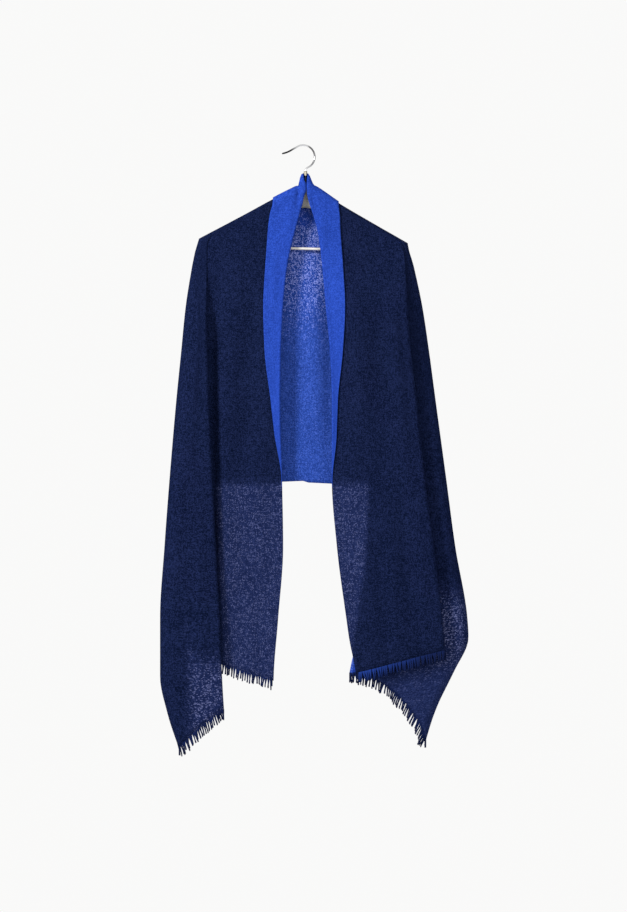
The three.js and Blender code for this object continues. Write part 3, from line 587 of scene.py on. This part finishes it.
def neck_columns():
    """The middle of the back, whose top edge rises and passes behind the stem."""
    columns = []
    for i in range(1, STEPS["neck"]):
        k = i / STEPS["neck"]
        x = lerp(neck_end(LEFT), neck_end(RIGHT), k)
        hem = lerp(LEFT["hems"]["back"][-1], RIGHT["hems"]["back"][-1], k)
        rise = NECK_RISE * smooth(1 - abs(x - STEM_X) / NECK_HALF)
        columns.append(Column(x, hem, lambda z, x=x: (np.full_like(z, x), back_depth(x, z)), rise))
    return columns


def stem_room(x):
    return STEM_STEP * float(smooth(1 - abs(x - STEM_X) / ARCH))


def grid_of(columns, behind_stem=False):
    """Points of a panel as an array of rows, columns and x y z."""
    return np.stack([
        column.points(stem_room(column.ridge_x) if behind_stem else 0.0) for column in columns
    ], axis=1)


def back_collar_grid():
    """The collar behind the neck, hanging outside the back panel."""
    xs = np.concatenate([
        np.linspace(CUT_ON_RIDGE["left"], neck_end(LEFT), STEPS["collar"]),
        np.linspace(neck_end(LEFT), neck_end(RIGHT), STEPS["nape"])[1:-1],
        np.linspace(neck_end(RIGHT), CUT_ON_RIDGE["right"], STEPS["collar"]),
    ])
    grid = []
    for x in xs:
        side = LEFT if x < STEM_X else RIGHT
        edge, inner = CUT_ON_RIDGE[side["name"]], neck_end(side)
        lift = lerp(COLLAR_LIFT, COLLAR_EDGE_LIFT, float(np.clip((x - inner) / (edge - inner), 0, 1)))
        rise = collar_rise(side, x, lift)
        top = float(ridge_height(x)) + rise
        fall = top - float(look_up(BACK_CUT[:, 0], BACK_CUT[:, 1], x))
        radius = ARCH + rise
        quarter = radius * math.pi / 2
        whole = radius * math.acos(1 - fall / radius) if fall < radius else quarter + fall - radius
        length = whole * np.arange(BACK_COLLAR_ROWS + 1) / BACK_COLLAR_ROWS
        angle = np.minimum(length / radius, math.pi / 2)
        z = top - radius * (1 - np.cos(angle)) - np.maximum(0, length - quarter)
        y = lerp(stem_room(x), back_depth(x, z) + lift, np.sin(angle))
        grid.append(np.stack([np.full_like(z, x), y, z], axis=1))
    return np.stack(grid, axis=1)


# ----- building the sheet
def measure(grid):
    """Thread lengths in mm, for the weave: along the weft, and down from the hook's level."""
    across = np.linalg.norm(np.diff(grid, axis=1), axis=2).mean(axis=0)
    down = np.linalg.norm(np.diff(grid, axis=0), axis=2)
    u = np.broadcast_to(np.concatenate([[0], np.cumsum(across)]), grid.shape[:2])
    v = np.concatenate([np.zeros((1, grid.shape[1])), np.cumsum(down, axis=0)], axis=0) - grid[0, :, 2]
    return u, v


def backlight_and_openness(panel, grid):
    """Where light coming through a single layer is painted into the colour, and how open the weave is,
    each 0 to 1.
    """
    x, z = grid[:, :, 0], grid[:, :, 2]
    if panel == "back":
        cut = look_up(BACK_CUT[:, 0], BACK_CUT[:, 1], x)
        # single is where the back hangs as one layer; there its colour is painted paler for the light
        # coming through it.
        single = smooth((cut + CUT_OVERLAP - z) / BORDER["collar"])
        opened = lerp(BACK_OPEN["high"], BACK_OPEN["low"], sets_in(BACK_OPEN, z))
        near_stem = smooth((NECK_PATCH["half"] - np.abs(x - STEM_X)) / BORDER["patch"])
        return single, np.maximum(NECK_PATCH["open"] * (1 - single) * near_stem, single * opened)
    if panel.endswith("collar"):
        return np.zeros_like(x), np.zeros_like(x)
    side = LEFT if panel == "left" else RIGHT
    way = side["way"]
    # front and corner mark the fronts' single layers, whose colour is painted paler for the light coming
    # through them.
    within_fold = smooth(way * (line(side, "inner", z) - x) / BORDER["fold"])
    front = within_fold * smooth((BACK_HEM - z) / BORDER["hem"])
    spur_x, spur_height = side["spur"]
    start = side["single_from"] + spur_height * bell(x - spur_x, SPUR_HALF)
    out_to = smooth(way * (side["single_to"] - x) / BORDER["corner_side"])
    in_sight = np.arange(x.shape[1]) >= THIRD_FROM
    corner = smooth((start - z) / BORDER["corner"]) * out_to * in_sight
    opened = lerp(*side["hem_open"], smooth((HEM_OPENS - z) / BORDER["corner"]))
    return np.maximum(front, corner), np.maximum(FRONT_OPEN * front, opened * corner)


def sheet_mesh(name, panels):
    """Joins the panels into one mesh. A panel is its name, its grid and whether it is turned."""
    points, faces, uvs, singles, opens = [], [], [], [], []
    offset = 0
    for panel, grid, turned in panels:
        rows, columns = grid.shape[:2]
        u, v = measure(grid)
        points.append(grid.reshape(-1, 3) * MM)
        index = offset + np.arange(rows * columns).reshape(rows, columns)
        a, b = index[:-1, :-1], index[1:, :-1]
        c, d = index[1:, 1:], index[:-1, 1:]
        faces.append(np.stack([a, d, c, b] if turned else [a, b, c, d], axis=-1).reshape(-1, 4))
        uvs.append(np.stack([u + WEAVE_AT[panel], v], axis=-1).reshape(-1, 2))
        single, opened = backlight_and_openness(panel, grid)
        singles.append(single.reshape(-1))
        opens.append(opened.reshape(-1))
        offset += rows * columns
    points, faces, uvs = np.concatenate(points), np.concatenate(faces), np.concatenate(uvs)
    mesh = bpy.data.meshes.new(name)
    mesh.from_pydata(points.tolist(), [], faces.tolist())
    layer = mesh.uv_layers.new(name="weave_mm")
    layer.data.foreach_set("uv", uvs[faces.reshape(-1)].astype(np.float32).reshape(-1))
    for key, values in (("single", singles), ("open", opens)):
        attribute = mesh.attributes.new(key, "FLOAT", "POINT")
        attribute.data.foreach_set("value", np.concatenate(values).astype(np.float32))
    return mesh


def new_object(name, mesh):
    obj = bpy.data.objects.new(name, mesh)
    bpy.context.scene.collection.objects.link(obj)
    return obj


def apply_modifiers(obj):
    evaluated = obj.evaluated_get(bpy.context.evaluated_depsgraph_get())
    mesh = bpy.data.meshes.new_from_object(evaluated)
    obj.modifiers.clear()
    obj.data = mesh


def lapel_rows(grid):
    """How many rows of the collar lie above the place where the lapel runs out."""
    return int(np.count_nonzero(grid[:, -1, 2] > LAPEL_END)) + 1


def build_cloth(outside, inside):
    panels = []
    for side, turned in ((LEFT, True), (RIGHT, False)):
        collar = grid_of(collar_columns(side))
        front = grid_of(roll_columns(side, 0.5, 1.0, skip_first=False) + front_columns(side))
        panels.append((side["name"] + "_collar", collar[:lapel_rows(collar)], turned))
        panels.append((side["name"], front, turned))
    back = grid_of(back_columns(LEFT) + neck_columns() + back_columns(RIGHT)[::-1], behind_stem=True)
    panels.append(("back", back, True))
    panels.append(("back_collar", back_collar_grid(), False))
    cloth = new_object("stole_cloth", sheet_mesh("stole_cloth", panels))
    cloth.data.materials.append(outside)
    cloth.data.materials.append(inside)
    weld = cloth.modifiers.new("weld", "WELD")
    weld.merge_threshold = WELD * MM
    shell = cloth.modifiers.new("shell", "SOLIDIFY")
    shell.thickness = CLOTH_THICKNESS * MM
    shell.offset = 0.0
    shell.material_offset = 1
    shell.material_offset_rim = 0
    apply_modifiers(cloth)
    cloth.data.polygons.foreach_set("use_smooth", [True] * len(cloth.data.polygons))
    return cloth


# ----- fringe and wire
def tube(path, radii, sides):
    """Rings of points round a path, with their faces and closed ends."""
    path = np.asarray(path, float)
    verts, faces = [], []
    for i, point in enumerate(path):
        ahead = path[min(i + 1, len(path) - 1)] - path[max(i - 1, 0)]
        ahead /= np.linalg.norm(ahead)
        first = np.cross(ahead, (0.0, 1.0, 0.0))
        first /= np.linalg.norm(first)
        second = np.cross(ahead, first)
        for corner in range(sides):
            angle = corner * math.tau / sides
            verts.append((point + radii[i] * (math.cos(angle) * first + math.sin(angle) * second)) * MM)
    for ring in range(len(path) - 1):
        for corner in range(sides):
            following = (corner + 1) % sides
            a = ring * sides
            faces.append((a + corner, a + following, a + sides + following, a + sides + corner))
    faces.append(tuple(reversed(range(sides))))
    faces.append(tuple((len(path) - 1) * sides + corner for corner in range(sides)))
    return verts, faces


def smooth_object(name, verts, faces, material):
    mesh = bpy.data.meshes.new(name)
    mesh.from_pydata([tuple(point) for point in verts], [], faces)
    mesh.polygons.foreach_set("use_smooth", [True] * len(mesh.polygons))
    mesh.materials.append(material)
    return new_object(name, mesh)


def hem_line(side):
    """Points of the short end of the cloth, from the collar's roll towards the outer corner."""
    hem = np.array([column.points()[-1] for column in front_columns(side)[:-FRINGE_SHORT_OF_CORNER]])
    along = np.concatenate([[0], np.cumsum(np.linalg.norm(np.diff(hem, axis=0), axis=1))])
    return hem, along


def yarn_path(root, centre, fall, drift, phase):
    """From a root in the hem in towards the tuft's middle and down, in a slight wave."""
    points = []
    for k in np.linspace(0, 1, YARN_POINTS):
        point = lerp(root, centre, GATHERED * math.sin(min(1, k / GATHERS_BY) * math.pi / 2))
        point[0] += (drift[0] + YARN_WAVE * math.sin(phase + WAVE_TURNS[0] * k)) * k
        point[1] += (drift[1] + YARN_WAVE * math.cos(phase + WAVE_TURNS[1] * k)) * k
        point[2] += YARN_ROOT - (fall + YARN_ROOT) * k
        points.append(point)
    return np.array(points)


def fringe_paths(side, generator):
    """Centre line, tone and radii of each yarn, in tufts that lean towards the hem's normal."""
    hem, along = hem_line(side)
    whole, front_width = along[-1], along[STEPS["main"]]
    count = int(whole / TUFT_PITCH)

    def at(place):
        return np.array([np.interp(place, along, hem[:, axis]) for axis in range(3)])

    for tuft in range(count):
        middle = (tuft + 0.5) * whole / count + generator.normal(0, UNLIKE["place"])
        across, _, rise = at(min(middle + SLOPE_REACH, whole)) - at(max(middle - SLOPE_REACH, 0))
        slope = np.clip(rise / (abs(across) + SLOPE_SOFT), -MOST_SLOPE, MOST_SLOPE)
        lean = slope * math.copysign(FRINGE_LEAN, across) + generator.normal(0, UNLIKE["lean"])
        length = FRINGE_LENGTH + generator.normal(0, UNLIKE["length"])
        drift = (lean * length, generator.normal(0, UNLIKE["sway"]) * length)
        bright = FRONT_TONE + side["fringe_tone"] * (1 - smooth(middle / front_width))
        tone = bright * float(middle < front_width) + generator.uniform(0, UNLIKE["tone"])
        for yarn in range(YARNS):
            place = middle + (yarn - (YARNS - 1) / 2) * TUFT_PITCH / YARNS
            phase, share = generator.uniform(0, math.tau), generator.uniform(SHORTEST_YARN, 1.0)
            yield yarn_path(at(place), at(middle), length * share, drift, phase), tone, YARN_RADII
    for place, reach in ((whole - BUNDLE_RADIUS, "outer"), (BUNDLE_RADIUS, "inner")):
        for angle in np.arange(YARNS) * math.tau / YARNS:
            root = at(place) + BUNDLE_RADIUS * np.array([math.cos(angle), math.sin(angle), 0])
            tip = root - (0, 0, FRINGE_LENGTH * BUNDLE_REACH[reach])
            yield np.linspace(root + (0, 0, BUNDLE_ROOT), tip, YARN_POINTS), 0.0, BUNDLE_RADII


def build_fringe(side, material):
    generator = np.random.default_rng(side["seed"])
    verts, faces, tones = [], [], []
    for path, tone, radii in fringe_paths(side, generator):
        points, quads = tube(path, np.linspace(*radii, len(path)), YARN_SIDES)
        faces += [tuple(len(verts) + corner for corner in quad) for quad in quads]
        verts += points
        tones += list(np.repeat(tone * np.linspace(1.0, TIP_TONE, len(path)), YARN_SIDES))
    fringe = smooth_object("yarn_" + side["name"], verts, faces, material)
    attribute = fringe.data.attributes.new("tone", "FLOAT", "POINT")
    attribute.data.foreach_set("value", tones)
    return fringe


def build_wire(material):
    """The hook: a flared tip, a round bend and a stem down into the wood."""
    centre_z = WIRE / 2 - HOOK_RADIUS
    bend = [(HOOK_CENTRE_X + HOOK_RADIUS * math.cos(angle), centre_z + HOOK_RADIUS * math.sin(angle))
            for angle in np.radians(HOOK_BEND)]
    knots = np.array(HOOK_FLARE + bend + HOOK_STEM, float)
    ends = [2 * knots[0] - knots[1], *knots, 2 * knots[-1] - knots[-2]]
    path = []
    for a, b, c, d in zip(ends, ends[1:], ends[2:], ends[3:]):
        for k in np.linspace(0, 1, WIRE_STEPS, endpoint=False):
            x, z = 0.5 * (2 * b + (c - a) * k + (2 * a - 5 * b + 4 * c - d) * k**2
                          + (3 * b - a - 3 * c + d) * k**3)
            path.append((x, 0.0, z))
    path.append((knots[-1][0], 0.0, knots[-1][1]))
    radii = np.full(len(path), WIRE / 2)
    radii[:len(HOOK_TIP)] *= HOOK_TIP
    return smooth_object("hook_wire", *tube(path, radii, WIRE_SIDES), material)


# ----- materials
class Nodes:
    """Short calls for building a material's node tree."""

    def __init__(self, name):
        self.material = bpy.data.materials.new(name)
        self.material.use_nodes = True
        self.tree = self.material.node_tree
        self.shader = self.tree.nodes["Principled BSDF"]

    def node(self, kind, **settings):
        node = self.tree.nodes.new(kind)
        for key, value in settings.items():
            setattr(node, key, value)
        return node

    def link(self, source, target):
        self.tree.links.new(source, target)

    def plug(self, sockets, values):
        for socket, value in zip(sockets, values):
            if isinstance(value, (int, float)):
                socket.default_value = value
            else:
                self.link(value, socket)

    def math(self, operation, *values):
        node = self.node("ShaderNodeMath", operation=operation)
        self.plug(node.inputs, values)
        return node.outputs[0]

    def combine(self, x, y, z=0.0):
        node = self.node("ShaderNodeCombineXYZ")
        self.plug(node.inputs, (x, y, z))
        return node.outputs[0]

    def split(self, vector):
        node = self.node("ShaderNodeSeparateXYZ")
        self.link(vector, node.inputs[0])
        return node.outputs

    def noise(self, vector, scale, detail=2.0, roughness=0.5):
        node = self.node("ShaderNodeTexNoise")
        self.plug([node.inputs[key] for key in ("Vector", "Scale", "Detail", "Roughness")],
                  (vector, scale, detail, roughness))
        return node.outputs["Fac"]

    def cells(self, u, v, size):
        """A random value for each crossing of the threads."""
        node = self.node("ShaderNodeTexWhiteNoise", noise_dimensions="2D")
        across = self.math("FLOOR", self.math("MULTIPLY", u, 1 / size))
        down = self.math("FLOOR", self.math("MULTIPLY", v, 1 / size))
        self.link(self.combine(across, down), node.inputs["Vector"])
        return node.outputs["Value"]

    def position(self):
        return self.node("ShaderNodeTexCoord").outputs["Object"]

    def attribute(self, name):
        return self.node("ShaderNodeAttribute", attribute_name=name).outputs["Fac"]

    def above(self, value, limit, soft):
        """How far a value is above a limit that varies, over a soft edge, 0 to 1."""
        node = self.node("ShaderNodeMath", operation="MULTIPLY", use_clamp=True)
        self.plug(node.inputs, (self.math("SUBTRACT", value, limit), 1 / soft))
        return node.outputs[0]

    def step(self, value, low, high, to_low=0.0, to_high=1.0):
        node = self.node("ShaderNodeMapRange", interpolation_type="SMOOTHSTEP")
        self.link(value, node.inputs["Value"])
        self.plug([node.inputs[key] for key in ("From Min", "From Max", "To Min", "To Max")],
                  (low, high, to_low, to_high))
        return node.outputs["Result"]

    def mix(self, factor, first, second):
        node = self.node("ShaderNodeMix", data_type="RGBA")
        self.link(factor, node.inputs["Factor"])
        for socket, value in ((node.inputs[6], first), (node.inputs[7], second)):
            if isinstance(value, tuple):
                socket.default_value = (*value, 1.0)
            else:
                self.link(value, socket)
        return node.outputs[2]

    def bump(self, height, strength, distance):
        node = self.node("ShaderNodeBump")
        self.plug([node.inputs[key] for key in ("Strength", "Distance", "Height")],
                  (strength, distance, height))
        self.link(node.outputs["Normal"], self.shader.inputs["Normal"])


def gauze(name, double_layer, painted_backlit_layer, painted_light_in_holes):
    """Open plain weave: uneven threads both ways, more open in a single layer and painted paler there for
    the light coming through.

    Each of the two gives a dark and a light thread colour, the painted_backlit_layer pair painted paler
    for the light coming through, and painted_light_in_holes is that light, painted between the threads.
    Each noise is read in a part of its own.
    """
    n = Nodes(name)
    uv = n.node("ShaderNodeUVMap", uv_map="weave_mm")
    u, v, _ = n.split(uv.outputs["UV"])

    def slubs(u_size, v_size, part):
        across, down = n.math("MULTIPLY", u, 1 / u_size), n.math("MULTIPLY", v, 1 / v_size)
        return n.noise(n.combine(across, down, part), 1.0)

    warp = slubs(SLUB_WIDTH, SLUB_LENGTH, 0.0)
    weft = slubs(SLUB_LENGTH, SLUB_WIDTH, 7.0)
    fleck = n.noise(n.combine(u, v, 3.0), 1 / FLECK)
    cells = n.cells(u, v, THREAD_PITCH)
    cloud = n.noise(n.combine(u, v, 9.0), 1 / CLOUD, detail=3.0)
    single, opened = n.attribute("single"), n.attribute("open")
    crossings = n.math("MULTIPLY", cells, CROSSING_WEIGHT)
    uneven = n.math("ADD", n.math("MULTIPLY", n.math("ADD", warp, weft), THREAD_WEIGHT), crossings)
    mottle = n.math("ADD", cloud, n.math("MULTIPLY", fleck, FLECK_WEIGHT))
    coarse = n.math("MULTIPLY", mottle, COARSE_WEIGHT)
    tone = n.step(n.math("ADD", uneven, coarse), *TONE_RANGE)
    limit = n.math("SUBTRACT", HOLE_LIMIT, n.math("MULTIPLY", opened, HOLE_OPENS))
    hole = n.math("MULTIPLY", n.above(uneven, limit, HOLE_SOFT), opened)
    n.link(n.math("SUBTRACT", 1.0, n.math("MULTIPLY", hole, HOLE_CLEAR)), n.shader.inputs["Alpha"])
    # Painted light: a single layer gets the paler painted_backlit_layer colours, for the light coming
    # through it.
    threads = n.mix(single, n.mix(tone, *double_layer), n.mix(tone, *painted_backlit_layer))
    # Painted light: the holes get painted_light_in_holes, the light that would show through them; they
    # are only slightly see-through.
    n.link(n.mix(hole, threads, painted_light_in_holes), n.shader.inputs["Base Color"])
    n.shader.inputs["Roughness"].default_value = 0.95
    n.shader.inputs["Specular IOR Level"].default_value = 0.0
    n.bump(uneven, strength=0.35, distance=0.0005)
    return n.material


def yarn_material():
    """Matt wool, from navy to cobalt by each yarn's tone."""
    n = Nodes("yarn")
    fibre = n.noise(n.position(), FINE["yarn"])
    cobalt = n.mix(fibre, (0.010, 0.035, 0.20), (0.022, 0.065, 0.38))
    navy = n.mix(fibre, (0.0025, 0.004, 0.014), (0.006, 0.010, 0.040))
    n.link(n.mix(n.attribute("tone"), navy, cobalt), n.shader.inputs["Base Color"])
    n.shader.inputs["Roughness"].default_value = 0.95
    n.shader.inputs["Specular IOR Level"].default_value = 0.0
    return n.material


def steel_material():
    """Bright wire with painted shade: it darkens at its tip, behind its bend and at its foot."""
    n = Nodes("hook_steel")
    position = n.position()
    fine = n.noise(position, FINE["steel"])
    n.link(n.step(fine, *NOISE_RANGE, 0.10, 0.22), n.shader.inputs["Roughness"])
    x, _, z = n.split(position)
    tip = n.step(n.math("ADD", x, n.math("MULTIPLY", fine, STEEL_TIP_UNEVEN)), *STEEL_TIP)
    behind = n.step(x, *STEEL_BEHIND, 1.0, STEEL_PAINTED_SHADE)
    above_stem = n.step(z, *STEEL_STEM, 1.0, STEEL_PAINTED_SHADE)
    foot = n.step(z, *STEEL_FOOT)
    # bright is 1 where the wire keeps its light colour, and falls towards the painted shade elsewhere.
    bright = n.math("MULTIPLY", n.math("MULTIPLY", tip, n.math("MAXIMUM", behind, above_stem)), foot)
    n.link(n.mix(bright, (0.035, 0.035, 0.037), (0.60, 0.60, 0.61)), n.shader.inputs["Base Color"])
    n.shader.inputs["Metallic"].default_value = 1.0
    return n.material


def ferrule_material():
    """Dull brass, spotted with age."""
    n = Nodes("ferrule")
    fine = n.noise(n.position(), FINE["brass"])
    n.link(n.mix(fine, (0.10, 0.09, 0.065), (0.34, 0.31, 0.24)), n.shader.inputs["Base Color"])
    n.shader.inputs["Metallic"].default_value = 0.85
    n.shader.inputs["Roughness"].default_value = 0.42
    return n.material


def wood_material(name, dark, light):
    """Satin wood with its grain along the hanger."""
    n = Nodes(name)
    place = [n.math("MULTIPLY", value, scale) for value, scale in zip(n.split(n.position()), GRAIN)]
    grain = n.noise(n.combine(*place), 1.0, detail=5.0, roughness=0.6)
    n.link(n.mix(n.step(grain, *NOISE_RANGE), dark, light), n.shader.inputs["Base Color"])
    n.link(n.step(grain, *NOISE_RANGE, 0.5, 0.62), n.shader.inputs["Roughness"])
    n.bump(grain, strength=0.2, distance=0.0004)
    return n.material


def floor_material():
    n = Nodes("floor")
    n.shader.inputs["Base Color"].default_value = (0.86, 0.86, 0.855, 1.0)
    n.shader.inputs["Roughness"].default_value = 0.9
    return n.material


# ----- camera, light, floor
def build_camera():
    data = bpy.data.cameras.new("camera")
    data.sensor_width = 36.0
    data.lens = data.sensor_width * VIEW_DISTANCE / VIEW_HEIGHT
    camera = bpy.data.objects.new("camera", data)
    camera.location = (VIEW_MIDDLE[0], -VIEW_DISTANCE, VIEW_MIDDLE[1])
    camera.rotation_euler = (math.pi / 2, 0, 0)
    bpy.context.scene.collection.objects.link(camera)
    bpy.context.scene.camera = camera


def area_light(name, place, target, size, power):
    data = bpy.data.lights.new(name, "AREA")
    data.shape = "DISK"
    data.size = size
    data.energy = power
    light = bpy.data.objects.new(name, data)
    light.location = place
    direction = [t - p for t, p in zip(target, place)]
    flat = math.hypot(direction[0], direction[1])
    light.rotation_euler = (math.atan2(flat, -direction[2]), 0, math.atan2(-direction[0], direction[1]))
    bpy.context.scene.collection.objects.link(light)


def build_stage():
    world = bpy.data.worlds.new("studio")
    world.use_nodes = True
    background = world.node_tree.nodes["Background"]
    background.inputs["Color"].default_value = (0.95, 0.95, 0.945, 1.0)
    bpy.context.scene.world = world
    bpy.context.scene.view_settings.view_transform = "Standard"
    angles = np.arange(FLOOR_SIDES) * math.tau / FLOOR_SIDES
    ring = [(FLOOR_RADIUS * math.cos(angle), FLOOR_RADIUS * math.sin(angle), FLOOR_Z) for angle in angles]
    mesh = bpy.data.meshes.new("floor")
    mesh.from_pydata(ring, [], [tuple(range(FLOOR_SIDES))])
    mesh.materials.append(floor_material())
    new_object("floor", mesh)
    for name, place, target, size, power in LIGHTS:
        area_light(name, place, target, size, power)


# ----- the scene
build_camera()
build_stage()

# In each gauze, painted_backlit_layer and painted_light_in_holes are painted light: a lone layer lit from
# behind, and the light between its threads.
navy = gauze(
    "navy_gauze",
    double_layer=((0.0015, 0.0031, 0.0122), (0.0071, 0.0116, 0.0410)),
    painted_backlit_layer=((0.0042, 0.0074, 0.0300), (0.0115, 0.0182, 0.0630)),
    painted_light_in_holes=(0.072, 0.082, 0.172),
)
cobalt = gauze(
    "cobalt_gauze",
    double_layer=((0.0076, 0.0248, 0.1690), (0.0155, 0.0450, 0.2760)),
    painted_backlit_layer=((0.0088, 0.0258, 0.1450), (0.0245, 0.0600, 0.2900)),
    painted_light_in_holes=(0.165, 0.200, 0.50),
)
cloth = build_cloth(navy, cobalt)
layers = ("front", "front_tuck", "front_side", "back_side", "back_tuck")
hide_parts("cloth_back", "collar_left", "collar_right", "collar_back",
            *(f"cloth_{side}_{layer}" for side in ("left", "right") for layer in layers))
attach(cloth, "root")

yarn = yarn_material()
for side in (LEFT, RIGHT):
    fringe = build_fringe(side, yarn)
    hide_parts("fringe_" + side["name"])
    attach(fringe, "root")

wire = build_wire(steel_material())
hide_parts("hanger_hook")
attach(wire, "root")

finishes = {
    "hanger_ferrule": ferrule_material(),
    "hanger_shoulders": wood_material("hanger_wood", (0.105, 0.100, 0.095), (0.175, 0.168, 0.160)),
    "hanger_bar": wood_material("bar_wood", (0.36, 0.34, 0.32), (0.52, 0.50, 0.48)),
}
for name, material in finishes.items():
    node = bpy.data.objects[name]
    for slot in node.material_slots:
        slot.material = material
